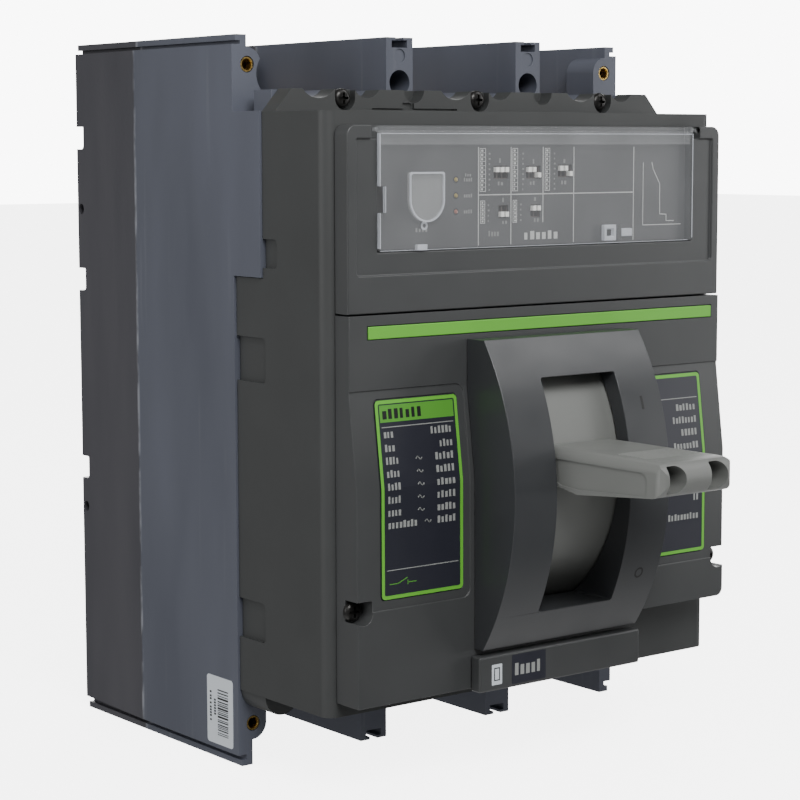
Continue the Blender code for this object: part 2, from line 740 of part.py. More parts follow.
def make_trip_unit_cover(frame, materials):
    """The upper cover, with the opening that the clear window closes."""
    low, high = TRIP_COVER_Z
    radius = TRIP_COVER_CORNER
    corner = arc((COVER_HALF - radius, high - radius), radius, 0, 90, 4)
    right = [(COVER_HALF, low)] + corner
    block = Prism("Y", right + mirrored(reversed(right)), (TRIP_COVER_FRONT, COVER_BACK))
    cover = solid("trip_unit_cover", materials["fascia"], block, frame)
    bevel(cover, 0.8)
    front = TRIP_COVER_FRONT - BEYOND
    recess = (front, TRIP_COVER_FRONT + TRIP_RECESS_DEPTH)
    cut(cover, frame, box(TRIP_RECESS_X, recess, TRIP_RECESS_Z))
    window_x = (WINDOW_X[0] - 0.5, WINDOW_X[1] + 0.5)
    cut(cover, frame, box(window_x, (front, FLOOR_FRONT), (WINDOW_Z[0] - 0.5, high + BEYOND)))
    board_x = (BOARD_X[0] - GAP, BOARD_X[1] + GAP)
    board_z = (BOARD_Z[0] - GAP, BOARD_Z[1] + GAP)
    cut(cover, frame, box(board_x, (front, COVER_BACK + BEYOND), board_z))
    pin_hole = (WINDOW_PIN_X[0] - 0.8, WINDOW_PIN_X[1] + 0.8)
    cut(cover, frame, cylinder("X", WINDOW_HINGE, WINDOW_PIN_RADIUS + GAP, pin_hole, 12))


def fascia_heights(low, high):
    """The two heights, with those knees of the front face that lie between them."""
    return [low] + [z for z, _ in FASCIA_KNEES if low < z < high] + [high]


def fascia_y(z):
    """The front face of the lower cover: upright at the top, sloping forward, then nearly upright."""
    (knee_low, y_low), (knee_high, y_high) = FASCIA_KNEES
    if z >= knee_high:
        return y_high
    if z >= knee_low:
        return y_low + (y_high - y_low) * (z - knee_low) / (knee_high - knee_low)
    bottom = FRONT_COVER_Z[0]
    return FASCIA_LOW_Y + (y_low - FASCIA_LOW_Y) * (z - bottom) / (knee_low - bottom)


def fascia_layer(x, z, front, back):
    """A sheet that follows the lower cover's front, between two distances behind that face."""
    heights = fascia_heights(*z)
    outline = [(fascia_y(height) + front, height) for height in heights]
    outline += [(fascia_y(height) + back, height) for height in reversed(heights)]
    return Prism("X", outline, x)


def cover_hollow(low, high):
    """The hollow behind the lower cover's front wall."""
    outline = [(fascia_y(z) + COVER_WALL, z) for z in fascia_heights(low, high)]
    outline += [(COVER_BACK + BEYOND, high), (COVER_BACK + BEYOND, low)]
    return Prism("X", outline, (-COVER_HOLLOW_HALF, COVER_HOLLOW_HALF))


def make_front_cover(frame, materials):
    """The lower cover, with the handle's opening and recesses for the labels and the stripe."""
    low, high = FRONT_COVER_Z
    outline = [(fascia_y(z), z) for z in fascia_heights(low, high)]
    outline += [(COVER_BACK, high), (COVER_BACK, low)]
    block = Prism("X", outline, (-COVER_HALF, COVER_HALF))
    cover = solid("front_cover", materials["fascia"], block, frame)
    bevel(cover, 1.2, 2)
    cut(cover, frame, cover_hollow(FRONT_COVER_RIGHT_BOTTOM + COVER_WALL, high - COVER_WALL))
    through = (FASCIA_LOW_Y - BEYOND, COVER_BACK + BEYOND)
    cut(cover, frame, box((-COVER_OPENING_HALF, COVER_OPENING_HALF), through, COVER_OPENING_Z))
    cutaway = (low - BEYOND, FRONT_COVER_RIGHT_BOTTOM)
    cut(cover, frame, box((TAB_HALF, COVER_HALF + BEYOND), through, cutaway))
    cut(cover, frame, *[fascia_layer(x, LABEL_Z, -BEYOND, LABEL_RECESS) for x in sides(*LABEL_X)])
    stripe_z = (STRIPE_Z[0] - GAP, STRIPE_Z[1] + GAP)
    cut(cover, frame, box(STRIPE_X, (through[0], STRIPE_FLOOR), stripe_z))
    pocket = (through[0], FRONT_SCREW_SEAT + GAP)
    for side in (-1, 1):
        centre = (side * FRONT_SCREW_X, FRONT_SCREW_Z)
        cut(cover, frame, cylinder("Y", centre, SCREW_HEAD_RADIUS + 0.5, pocket, 20))
        cut(cover, frame, cylinder("Y", centre, SCREW_SHANK_RADIUS + GAP, through, 12))


def make_labels_and_stripe(frame, materials):
    """The two printed plates and the green stripe, each lying in its recess."""
    span = (LABEL_Z[0] + LABEL_INSET, LABEL_Z[1] - LABEL_INSET)
    for name, x in zip(("label_plate_right", "label_plate_left"), sides(*LABEL_X)):
        inner = (x[0] + LABEL_INSET, x[1] - LABEL_INSET)
        layer = fascia_layer(inner, span, LABEL_RECESS - GAP - LABEL_THICKNESS, LABEL_RECESS - GAP)
        solid(name, materials["label"], layer, frame)
    stripe = box((STRIPE_X[0] + GAP, STRIPE_X[1] - GAP), (STRIPE_FRONT, STRIPE_FLOOR - GAP), STRIPE_Z)
    solid("green_stripe", materials["green"], stripe, frame)


def shroud_outline(radius, low, high, back_offset):
    """Side view of the handle shroud: an arc in front and the lower cover's slope behind."""
    centre_z = SHROUD_CENTRE[1]
    top = math.degrees(math.asin((high - centre_z) / radius))
    bottom = math.degrees(math.asin((low - centre_z) / radius))
    front = arc(SHROUD_CENTRE, radius, 180 - top, 180 - bottom, 14)
    back = [(fascia_y(z) + back_offset, z) for z in fascia_heights(low, high)]
    return front + back


def make_handle_shroud(frame, materials):
    """The curved hood around the handle, with the window that the handle moves in."""
    low, high = SHROUD_Z
    outline = shroud_outline(SHROUD_RADIUS, low, high, -GAP)
    block = Prism("X", outline, (-SHROUD_HALF, SHROUD_HALF))
    shroud = solid("handle_shroud", materials["shroud"], block, frame)
    bevel(shroud, 1.0)
    half = SHROUD_HALF - SHROUD_WALL
    inner = (low + SHROUD_WALL, high - SHROUD_WALL)
    hollow = shroud_outline(SHROUD_RADIUS - SHROUD_WALL, *inner, BEYOND)
    cut(shroud, frame, Prism("X", hollow, (-half, half)))
    window = (-SHROUD_WINDOW_HALF, SHROUD_WINDOW_HALF)
    through = (SHROUD_CENTRE[0] - SHROUD_RADIUS - 2 * BEYOND, FASCIA_LOW_Y)
    cut(shroud, frame, box(window, through, SHROUD_WINDOW_Z))
    shade_round(shroud)


def make_rating_tab(frame, materials):
    """The tab under the shroud that carries the rating plate."""
    span = (TAB_FRONT, fascia_y(TAB_Z[1]) - GAP)
    block = box((-TAB_HALF, TAB_HALF), span, TAB_Z)
    bevel(solid("rating_tab", materials["fascia"], block, frame), 0.8)


# ---- Trip unit ----


def switch_places():
    """Name, X, slot centre Z and rest direction of every setting switch."""
    for bank, centre_x, centre_z, rests_up in SWITCH_BANKS:
        first = centre_x - SWITCH_PITCH * (len(rests_up) - 1) / 2
        for index, up in enumerate(rests_up):
            name = f"switch_{bank}_{index + 1}"
            yield name, first + SWITCH_PITCH * index, centre_z, 1 if up else -1


def make_trip_unit(frame, materials):
    """The electronic module, the board that guides the switches, and the printed panel."""
    block = box((-MODULE_HALF, MODULE_HALF), (MODULE_FRONT, MODULE_BACK), MODULE_Z)
    bevel(solid("trip_unit_module", materials["phenolic"], block, frame), 1.5)
    block = box(BOARD_X, (FLOOR_FRONT, MODULE_FRONT - GAP), BOARD_Z)
    board = solid("setting_board", materials["phenolic"], block, frame)
    panel_x = (WINDOW_X[0] + 0.4, WINDOW_X[1] - 0.4)
    block = box(panel_x, (PANEL_FRONT, PANEL_BACK), PANEL_Z)
    panel = solid("settings_panel", materials["panel"], block, frame)
    through = (PANEL_FRONT - BEYOND, PANEL_BACK + BEYOND)
    for _, centre_x, centre_z, rests_up in SWITCH_BANKS:
        bank = pole_span(centre_x, SWITCH_PITCH * len(rests_up) / 2)
        cut(panel, frame, box(bank, through, pole_span(centre_z, BANK_SLOT_HALF)))
    make_switches(board, frame, materials)


def make_switches(board, frame, materials):
    """The setting switches, each in its own slot in the board."""
    half_travel = SWITCH_TRAVEL / 2
    depth = (FLOOR_FRONT - BEYOND, SWITCH_BACK + 0.4)
    for name, x, z, direction in switch_places():
        slot_x = pole_span(x, SWITCH_WIDTH / 2 + SWITCH_CLEARANCE)
        slot_z = pole_span(z, half_travel + SWITCH_HEIGHT / 2 + SWITCH_CLEARANCE)
        cut(board, frame, box(slot_x, depth, slot_z))
        rest = z + direction * half_travel
        joint = pivot(f"{name}_slide", frame, (x, SWITCH_BACK, rest))
        across = pole_span(x, SWITCH_WIDTH / 2)
        block = box(across, (SWITCH_FRONT, SWITCH_BACK), pole_span(rest, SWITCH_HEIGHT / 2))
        hang_on(solid(name, materials["white"], block, frame), joint)


def make_trip_face_details(frame, materials):
    """The sealable cover over the test socket, and the lug that the window is sealed with."""
    left, right = SOCKET_COVER_X
    centre = ((left + right) / 2, SOCKET_COVER_CENTRE_Z)
    shield = [(left, SOCKET_COVER_TOP), (right, SOCKET_COVER_TOP)]
    shield += arc(centre, (right - left) / 2, 0, -180, 10)
    span = (PANEL_FRONT - GAP - FACE_DETAIL_DEPTH, PANEL_FRONT - GAP)
    solid("test_socket_cover", materials["clear"], Prism("Y", shield, span), frame)
    lug = solid("sealing_lug", materials["panel"], box(LUG_X, span, LUG_Z), frame)
    through = (span[0] - BEYOND, span[1] + BEYOND)
    cut(lug, frame, cylinder("Y", LUG_HOLE, LUG_HOLE_RADIUS, through, 12))


def make_clear_window(frame, materials):
    """The clear cover over the settings, which turns on the pins at its upper edge."""
    front = WINDOW_HINGE[0] - WINDOW_ROLL_RADIUS
    plate = box(WINDOW_X, (front, front + WINDOW_THICKNESS), WINDOW_Z)
    window = solid("clear_window", materials["clear"], plate, frame)
    joint = pivot("clear_window_hinge", frame, (0.0, *WINDOW_HINGE))
    hang_on(window, joint)
    fuse(window, frame, cylinder("X", WINDOW_HINGE, WINDOW_ROLL_RADIUS, WINDOW_X, 16))
    fuse(window, frame, cylinder("X", WINDOW_HINGE, WINDOW_PIN_RADIUS, WINDOW_PIN_X, 10))


# ---- Current path ----


def make_terminals(frame, materials):
    """The copper bars: each line bar carries the fixed contact and each load bar passes a transformer."""
    hole = (BAR_Y[0] - BEYOND, BAR_Y[1] + BEYOND)
    pad = (BAR_Y[0] - PAD_RISE, BAR_Y[0] + OVERLAP)
    for number, pole in enumerate(POLE_CENTRES, start=1):
        x = pole_span(pole, BAR_HALF)
        line = solid(f"line_terminal_{number}", materials["copper"], box(x, BAR_Y, LINE_BAR_Z), frame)
        contact = box(pole_span(pole, CONTACT_HALF), (CONTACT_FACE, BAR_Y[0] + OVERLAP), CONTACT_Z)
        fuse(line, frame, contact, box(x, pad, LINE_PAD_Z))
        cut(line, frame, cylinder("Y", (pole, LINE_HOLE_Z), TERMINAL_HOLE_RADIUS, hole, 20))
        load = solid(f"load_terminal_{number}", materials["copper"], box(x, BAR_Y, LOAD_BAR_Z), frame)
        fuse(load, frame, box(x, pad, LOAD_PAD_Z))
        cut(load, frame, cylinder("Y", (pole, LOAD_HOLE_Z), TERMINAL_HOLE_RADIUS, hole, 20))


def make_arc_chutes(frame, materials):
    """Splitter plates between two cheeks, above each pole's contacts."""
    pitch = (CHUTE_Z[1] - CHUTE_Z[0]) / (CHUTE_SLOTS + 1)
    through = (CHUTE_Y[0] - BEYOND, CHUTE_Y[1] + BEYOND)
    for number, pole in enumerate(POLE_CENTRES, start=1):
        block = box(pole_span(pole, CHUTE_HALF), CHUTE_Y, CHUTE_Z)
        chute = solid(f"arc_chute_{number}", materials["steel"], block, frame)
        x = pole_span(pole, CHUTE_HALF - CHUTE_CHEEK)
        for slot in range(CHUTE_SLOTS):
            low = CHUTE_Z[0] + pitch * (slot + 0.65)
            cut(chute, frame, box(x, through, (low, low + pitch * 0.7)))


def make_current_transformers(frame, materials):
    """A ring around each load bar, which measures the pole's current."""
    window = (BAR_Y[0] - 0.5, BAR_Y[1] + 0.5)
    through = (TRANSFORMER_Z[0] - BEYOND, TRANSFORMER_Z[1] + BEYOND)
    for number, pole in enumerate(POLE_CENTRES, start=1):
        block = box(pole_span(pole, TRANSFORMER_HALF), TRANSFORMER_Y, TRANSFORMER_Z)
        ring = solid(f"current_transformer_{number}", materials["phenolic"], block, frame)
        bevel(ring, 1.5)
        cut(ring, frame, box(pole_span(pole, BAR_HALF + 0.5), window, through))


def contact_arm_outline():
    """Side view of a moving contact with the contacts open by the rest angle."""
    turn = Matrix.Rotation(math.radians(CONTACT_REST_ANGLE), 2)
    centre = Vector(SHAFT_CENTRE)
    return [tuple(centre + turn @ (Vector(point) - centre)) for point in CONTACT_OUTLINE]


def make_contact_shaft(frame, materials):
    """The insulated shaft across the poles and the three contact arms that turn with it."""
    joint = pivot("contact_shaft_bearing", frame, (0.0, *SHAFT_CENTRE))
    bar = cylinder("X", SHAFT_CENTRE, SHAFT_RADIUS, (-SHAFT_HALF, SHAFT_HALF))
    shaft = solid("contact_shaft", materials["phenolic"], bar, frame)
    shade_round(shaft)
    hang_on(shaft, joint)
    for number, pole in enumerate(POLE_CENTRES, start=1):
        arm = Prism("X", contact_arm_outline(), pole_span(pole, CONTACT_ARM_HALF))
        hang_on(solid(f"moving_contact_{number}", materials["copper"], arm, frame), joint)


# ---- Operating mechanism ----


def make_mechanism_frame(frame, materials):
    """Two steel side plates held apart by cross pins, around the middle pole's contacts."""
    left, right = (-PLATE_X[1], -PLATE_X[0]), PLATE_X
    plates = solid("mechanism_frame", materials["steel"], Prism("X", PLATE_OUTLINE, left), frame)
    fuse(plates, frame, Prism("X", PLATE_OUTLINE, right))
    between = (left[1] - OVERLAP, right[0] + OVERLAP)
    for centre in CROSS_PINS:
        fuse(plates, frame, cylinder("X", centre, CROSS_PIN_RADIUS, between, 12))
    through = (left[0] - BEYOND, right[1] + BEYOND)
    cut(plates, frame, cylinder("X", SHAFT_CENTRE, SHAFT_RADIUS + SHAFT_CLEARANCE, through))
    cut(plates, frame, cylinder("X", (PIVOT_Y, PIVOT_Z), PIN_RADIUS + GAP, through, 20))
    length = (-YOKE_ARM_X[1] - PIN_OVERHANG, YOKE_ARM_X[1] + PIN_OVERHANG)
    pin = cylinder("X", (PIVOT_Y, PIVOT_Z), PIN_RADIUS, length, 16)
    solid("handle_pivot_pin", materials["steel"], pin, frame)


def make_handle(frame, materials):
    """Everything that swings with the handle, hung on its pivot."""
    joint = pivot("handle_pivot", frame, (0.0, PIVOT_Y, PIVOT_Z))
    hang_on(make_yoke(frame, materials), joint)
    hang_on(make_shield(frame, materials), joint)
    hang_on(make_grip(frame, materials), joint)


def make_yoke(frame, materials):
    """The fork that turns on the pivot pin and carries the grip."""
    eye = arc((PIVOT_Y, PIVOT_Z), YOKE_EYE_RADIUS, -50, 50, 6)
    arm = [(YOKE_ARM_END, YOKE_ARM_Z[0])] + eye + [(YOKE_ARM_END, YOKE_ARM_Z[1])]
    left, right = (-YOKE_ARM_X[1], -YOKE_ARM_X[0]), YOKE_ARM_X
    yoke = solid("handle_yoke", materials["steel"], Prism("X", arm, right), frame)
    fuse(yoke, frame, Prism("X", arm, left))
    fuse(yoke, frame, box((left[0], right[1]), YOKE_BRIDGE_Y, YOKE_ARM_Z))
    through = (left[0] - BEYOND, right[1] + BEYOND)
    cut(yoke, frame, cylinder("X", (PIVOT_Y, PIVOT_Z), PIN_RADIUS + GAP, through, 20))
    return yoke


def make_shield(frame, materials):
    """The curved dust shield that fills the shroud's window at every handle position."""
    low, high = SHIELD_ANGLES
    centre = (PIVOT_Y, PIVOT_Z)
    outer = arc(centre, SHIELD_RADIUS, 180 - high, 180 - low, 32)
    inner = arc(centre, SHIELD_RADIUS - SHIELD_THICKNESS, 180 - low, 180 - high, 32)
    block = Prism("X", outer + inner, (-SHIELD_HALF, SHIELD_HALF))
    shield = solid("handle_shield", materials["handle"], block, frame)
    shade_round(shield)
    return shield


def make_grip(frame, materials):
    """The part of the handle that a hand holds, with two holes for an extension in its end."""
    root = PIVOT_Y - SHIELD_RADIUS - GAP
    tip = arc((HANDLE_TIP_CENTRE, HANDLE_AXIS_Z), HANDLE_TIP_RADIUS, 90, 262, 12)
    outline = [(root, HANDLE_TOP_Z), *tip, *HANDLE_THROAT, (root, HANDLE_ROOT_Z)]
    block = Prism("X", outline, (-HANDLE_HALF, HANDLE_HALF))
    grip = solid("toggle_handle", materials["handle"], block, frame)
    bevel(grip, 2.0, 2)
    depth = (HANDLE_TIP_CENTRE - HANDLE_TIP_RADIUS - 3 * BEYOND, HANDLE_HOLE_END)
    for side in (-1, 1):
        centre = (side * HANDLE_HOLE_X, HANDLE_AXIS_Z)
        cut(grip, frame, cylinder("Y", centre, HANDLE_HOLE_RADIUS, depth, 20))
    return grip


def make_trip_bar(frame, materials):
    """The bar that the trip unit turns to unlatch the mechanism."""
    joint = pivot("trip_bar_bearing", frame, (0.0, *TRIP_BAR_CENTRE))
    rod = cylinder("X", TRIP_BAR_CENTRE, TRIP_BAR_RADIUS, (-TRIP_BAR_HALF, TRIP_BAR_HALF), 12)
    bar = solid("trip_bar", materials["phenolic"], rod, frame)
    hang_on(bar, joint)
    y, z = TRIP_BAR_CENTRE
    flag_y = pole_span(y, TRIP_FLAG_THICKNESS / 2)
    fuse(bar, frame, box((-TRIP_FLAG_HALF, TRIP_FLAG_HALF), flag_y, (z, z + TRIP_FLAG_HEIGHT)))


# ---- Screws ----


def make_screw(name, centre, seat, frame, materials):
    """A cross-recess pan-head screw along Y, with its head in front of the seat."""
    head = (seat - SCREW_HEAD_HEIGHT, seat)
    block = cylinder("Y", centre, SCREW_HEAD_RADIUS, head, 20)
    screw = solid(name, materials["black"], block, frame)
    bevel(screw, 0.7, 2)
    shank = (seat - OVERLAP, seat + SCREW_SHANK_LENGTH)
    fuse(screw, frame, cylinder("Y", centre, SCREW_SHANK_RADIUS, shank, 12))
    x, z = centre
    depth = (head[0] - OVERLAP, head[0] + SCREW_SLOT_DEPTH)
    long_half, short_half = SCREW_SLOT_HALF
    cut(screw, frame, box(pole_span(x, long_half), depth, pole_span(z, short_half)))
    cut(screw, frame, box(pole_span(x, short_half), depth, pole_span(z, long_half)))


def make_screws(frame, materials):
    """Three screws in the shoulder, and one at each side of the lower cover."""
    for hand, pole in zip(("left", "middle", "right"), POLE_CENTRES):
        centre = (pole, TOP_SCREW_Z)
        make_screw(f"top_screw_{hand}", centre, TOP_SCREW_SEAT, frame, materials)
    for hand, side in (("left", -1), ("right", 1)):
        centre = (side * FRONT_SCREW_X, FRONT_SCREW_Z)
        make_screw(f"front_screw_{hand}", centre, FRONT_SCREW_SEAT, frame, materials)


def main():
    """Builds every sub-part in the frame whose origin is the centre of the rear face."""
    clear_scene()
    frame = new_object("rear_face_frame", None, None)
    frame.location.z = -BASE_HEIGHT / 2 * MM
    materials = make_materials()
    make_rear_base(frame, materials)
    make_inserts(frame, materials)
    make_main_housing(frame, materials)
    make_trip_unit_cover(frame, materials)
    make_front_cover(frame, materials)
    make_labels_and_stripe(frame, materials)
    make_handle_shroud(frame, materials)
    make_rating_tab(frame, materials)
    make_trip_unit(frame, materials)
    make_trip_face_details(frame, materials)
    make_clear_window(frame, materials)
    make_terminals(frame, materials)
    make_arc_chutes(frame, materials)
    make_current_transformers(frame, materials)
    make_contact_shaft(frame, materials)
    make_mechanism_frame(frame, materials)
    make_handle(frame, materials)
    make_trip_bar(frame, materials)
    make_screws(frame, materials)


main()
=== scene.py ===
"""Looks of the three-pole moulded-case circuit breaker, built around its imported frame.

Lengths are in millimetres until a mesh is made. X runs to the right, Y from front to back, and
heights are counted from the lower edge of the rear base, as the breaker's own drawing has them.
"""

import json
import math
import random
from collections import namedtuple

import bmesh
import bpy
from mathutils import Matrix, Vector


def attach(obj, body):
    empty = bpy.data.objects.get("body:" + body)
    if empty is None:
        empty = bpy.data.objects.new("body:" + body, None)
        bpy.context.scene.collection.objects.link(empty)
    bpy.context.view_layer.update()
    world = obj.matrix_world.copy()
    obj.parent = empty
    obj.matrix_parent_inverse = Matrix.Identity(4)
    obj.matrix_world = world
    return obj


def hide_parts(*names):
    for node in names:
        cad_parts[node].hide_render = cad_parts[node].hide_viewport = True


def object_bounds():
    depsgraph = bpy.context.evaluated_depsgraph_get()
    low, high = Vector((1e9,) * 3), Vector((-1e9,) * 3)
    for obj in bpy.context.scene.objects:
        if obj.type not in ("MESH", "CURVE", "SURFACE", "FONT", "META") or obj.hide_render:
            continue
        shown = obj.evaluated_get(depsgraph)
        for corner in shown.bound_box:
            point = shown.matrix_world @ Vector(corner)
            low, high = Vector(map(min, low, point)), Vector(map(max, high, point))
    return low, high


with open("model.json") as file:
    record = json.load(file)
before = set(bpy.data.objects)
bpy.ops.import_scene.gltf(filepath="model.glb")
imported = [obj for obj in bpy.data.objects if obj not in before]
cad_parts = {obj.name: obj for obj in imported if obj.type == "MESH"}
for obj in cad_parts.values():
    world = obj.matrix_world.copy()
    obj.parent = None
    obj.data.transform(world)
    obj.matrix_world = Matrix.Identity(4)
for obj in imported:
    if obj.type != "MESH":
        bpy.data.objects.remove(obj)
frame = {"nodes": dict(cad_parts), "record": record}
CAD_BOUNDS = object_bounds()

MM = 0.001
FOOT = -145.5  # height of the base's lower edge over the frame's origin
GAP = 0.3  # clearance between two pieces that rest on each other
PAST = 5.0  # how far a cutter reaches past the face that it cuts
INK = 0.05  # thickness of a printed mark
IN_FRONT = -300.0  # a plane in front of everything
POLES = (-70.0, 0.0, 70.0)
PARTITIONS = (-35.0, 35.0)

# Rear base
BASE_HEIGHT = 291.0
BASE_HALF = 105.0
WALL_INNER = 98.0
BASE_FRONT = -128.3
PARTITION_FRONT = -147.3
PARTITION_BACK = -5.0
PARTITION_HALF = 6.9
PARTITION_Z = (-4.5, 294.8)
RIDGE_Y = -53.0
TERMINAL_SEAT = -47.7
CHAMBER_BACK = -10.0
CONTACT_SHAFT = (-90.0, 112.0)
SHAFT_ROOM_RADIUS = 12.9
CROSS_WALLS = ((56.0, 62.0), (231.0, 237.0))
SIDE_TAB_Z = (198.6, 264.3)
EAR_RADIUS = 7.0
INSERT_X = 97.6
INSERT_HOLE_RADIUS = 3.3
INSERT_HEIGHTS = (12.8, 283.1)
MOUNTING_HEIGHTS = (14.7, 276.3)
CHANNEL_RADIUS = 5.2
SHOULDER_TOP = 273.0
# Each round channel across the shoulder: its offset from the pole, its height and its radius.
SCALLOPS = ((-13.0, 279.5, 10.2), (11.0, 277.0, 7.4))
SCALLOP_Y = (-170.0, -120.0)

# Housing and covers
HOUSING_HALF = 104.0
HOUSING_FRONT = -190.0
HOUSING_WALL = 4.0
BEHIND_HOUSING = -100.0
SCREW_HOLE_RADIUS = 2.3
HOUSING_Z = (28.0, 264.0)
SHOULDER_FRONT = -157.0
TOP_SCREW_Z = 269.5
TOP_SCREW_SEAT = -153.7
FRONT_SCREWS = ((-97.3, 71.3), (97.3, 71.3))
FRONT_SCREW_SEAT = -196.2
COVER_HALF = 100.0
COVER_BACK = HOUSING_FRONT - GAP
UPPER_FRONT = -198.7
UPPER_Z = (186.5, 258.5)
RECESS_TOP = 253.3
LOWER_Z = (34.0, 185.9)
CUTAWAY_TOP = 54.0
FASCIA_KNEES = ((119.0, -204.2), (156.0, -199.3))
FASCIA_LOW_Y = -204.5
LABEL_X = (47.2, 88.8)
LABEL_Z = (75.1, 153.4)
LABEL_RECESS = 0.8
LABEL_FILM = 0.4
LABEL_FRONT = LABEL_RECESS - GAP - LABEL_FILM  # the labels' front, behind the fascia
STRIPE_X = (-91.3, 95.7)
STRIPE_Z = (176.7, 181.6)

# Handle and shroud
PIVOT = (-152.5, 119.0)
SHROUD_HALF = 42.0
SHROUD_Z = (50.0, 174.5)
SHROUD_CENTRE = (-119.2, 112.3)
SHROUD_RADIUS = 110.0
SHROUD_WALL = 3.5
SLOT_HALF = 20.0
SLOT_Z = (64.4, 159.0)
COLLAR_WALL = 2.2
COLLAR_GAP = 0.8
GRIP_HALF = 19.3
GRIP_TIP = (-280.3, 125.1)
GRIP_TIP_RADIUS = 7.0
GRIP_TOP = 132.0
GRIP_ROOT_Y = -221.3
# The holes in the grip's end: distance from its middle, half width, half height and floor.
GRIP_HOLE_X = 11.2
GRIP_HOLE_HALF = (4.4, 5.4)
GRIP_HOLE_FLOOR = -258.0
GRIP_REACH_Z = (100.0, 140.0)  # heights that hold the whole grip
RIB_PITCH = 2.3
SHIELD_RADIUS = 68.5
SHIELD_HALF = 27.0
SHIELD_THICKNESS = 2.0
SHIELD_SPAN = (114.0, 244.0)  # degrees from +Y towards the front, over the top
TAB_Z = (33.0, 47.5)
TAB_HALF = 44.0
TAB_FRONT = -210.5

# Trip unit face
WINDOW_X = (-84.5, 84.2)
WINDOW_Z = (210.2, 256.4)
WINDOW_THICKNESS = 1.5
FROSTED_Z = (251.0, 255.3)
# The notch for a finger in the window's left edge
NOTCH_X = -81.9
NOTCH_Z = (225.0, 235.0)
HINGE = (-197.2, 256.9)
HINGE_RADIUS = 1.4
PANEL_FRONT = -194.1
PANEL_BACK = -193.3
FLOOR_FRONT = -193.0
PANEL_Z = (210.6, 252.0)
# Each bank of setting switches: its centre's X and height, and how many switches it has.
BANKS = ((-19.9, 239.9, 3), (-2.7, 239.8, 3), (14.6, 240.2, 3), (-18.6, 224.2, 2), (-1.5, 224.2, 2))
SWITCH_PITCH = 2.6
LAMP_X = -43.3
LAMP_HEIGHTS = (237.2, 230.9, 224.6)

# Camera: its place in metres, its angles in degrees, and its focal length and sensor in millimetres
CAMERA_PLACE = (-0.5974, -0.8701, 0.1048)
CAMERA_TURN = -37.885
CAMERA_DOWN = 6.569
CAMERA_ROLL = -0.094
CAMERA_LENS = (99.12, 36.0)

# Light: strengths of the backdrop and of the room's dim side, and where the backdrop fades out,
# as cosines of the angle to its middle
BACKDROP = 9.0
BACKDROP_AHEAD = (0.614, 0.789, 0.0)  # the way to the backdrop's middle
BACKDROP_FADE = (0.86, 0.94)
ROOM_DIM = 0.07
# Each side of the room: the axis that it lies along, its strength, and where it starts and is full.
ROOM_SIDES = (("X", 0.3, 0.1, -0.9), ("Z", 0.15, 0.1, 0.9), ("Z", 1.1, -0.4, -0.9))
# Each softbox: its name, place, target, width and height in metres, and watts.
SOFTBOXES = (
    ("key_softbox", (-0.35, -1.0, 0.75), (0.0, -0.2, 0.05), (0.7, 0.5), 14.0),
    ("upper_right_softbox", (0.78, -0.71, 0.9), (0.0, -0.2, 0.0), (0.7, 0.7), 5.0),
    ("right_softbox", (1.6, -1.0, 0.15), (0.0, -0.2, 0.0), (0.7, 0.7), 9.0),
    ("left_softbox", (-1.5, 0.15, 0.4), (-0.1, -0.1, 0.0), (0.9, 0.9), 7.5),
)
FLOOR_GLOW = 5.0  # the floor glows like a light table, but lights nothing else
WHITE = (1.0, 1.0, 1.0, 1.0)

Prism = namedtuple("Prism", "axis outline span")
Sheet = namedtuple("Sheet", "outlines front back")


# ---- Outlines: lists of 2-D points ----


def arc(centre, radius, start, end, steps):
    """Points along an arc, with its angles in degrees from the first axis towards the second."""
    angles = [math.radians(start + (end - start) * step / steps) for step in range(steps + 1)]
    return [(centre[0] + radius * math.cos(a), centre[1] + radius * math.sin(a)) for a in angles]


def circle(centre, radius, sides=48):
    return arc(centre, radius, 0, 360, sides)[:-1]


def rounded(first, second, radii=(0, 0, 0, 0), steps=6):
    """A rectangle from two spans, with a radius at each corner, from low-low round by high-low."""
    corners = ((0, 0, 180), (1, 0, 270), (1, 1, 0), (0, 1, 90))
    points = []
    for (right, top, start), radius in zip(corners, radii):
        corner = (first[right], second[top])
        if radius == 0:
            points.append(corner)
            continue
        centre = (corner[0] - radius * (2 * right - 1), corner[1] - radius * (2 * top - 1))
        points += arc(centre, radius, start, start + 90, steps)
    return points


def band(outer, inner):
    """The strip between two outlines with as many points each, as one quad for each side."""
    count = len(outer)
    return [
        (outer[i], outer[(i + 1) % count], inner[(i + 1) % count], inner[i]) for i in range(count)
    ]


def ribbon(points, half):
    """A line of constant width through the points, as one quad for each stretch."""
    quads = []
    for (x0, z0), (x1, z1) in zip(points, points[1:]):
        length = math.hypot(x1 - x0, z1 - z0)
        along_x, along_z = (x1 - x0) / length * half, (z1 - z0) / length * half
        start, end = (x0 - along_x, z0 - along_z), (x1 + along_x, z1 + along_z)
        corners = ((start, -1), (end, -1), (end, 1), (start, 1))
        quads.append([(x - side * along_z, z + side * along_x) for (x, z), side in corners])
    return quads


def mirrored(points):
    return [(-x, z) for x, z in points]


def around(centre, half):
    return (centre - half, centre + half)


def grown(span, amount):
    return (span[0] - amount, span[1] + amount)


def both_sides(low, high):
    return ((low, high), (-high, -low))


def box(x, y, z):
    return Prism("X", rounded(y, z), x)


def cylinder(axis, centre, radius, span, sides=48):
    return Prism(axis, circle(centre, radius, sides), span)


# ---- Meshes ----


def placed(axis, point, distance):
    """The 3-D place of a 2-D outline point, at this distance along the prism's axis."""
    first, second = point
    if axis == "X":
        return (distance, first, second)
    if axis == "Y":
        return (first, distance, second)
    return (first, second, distance)


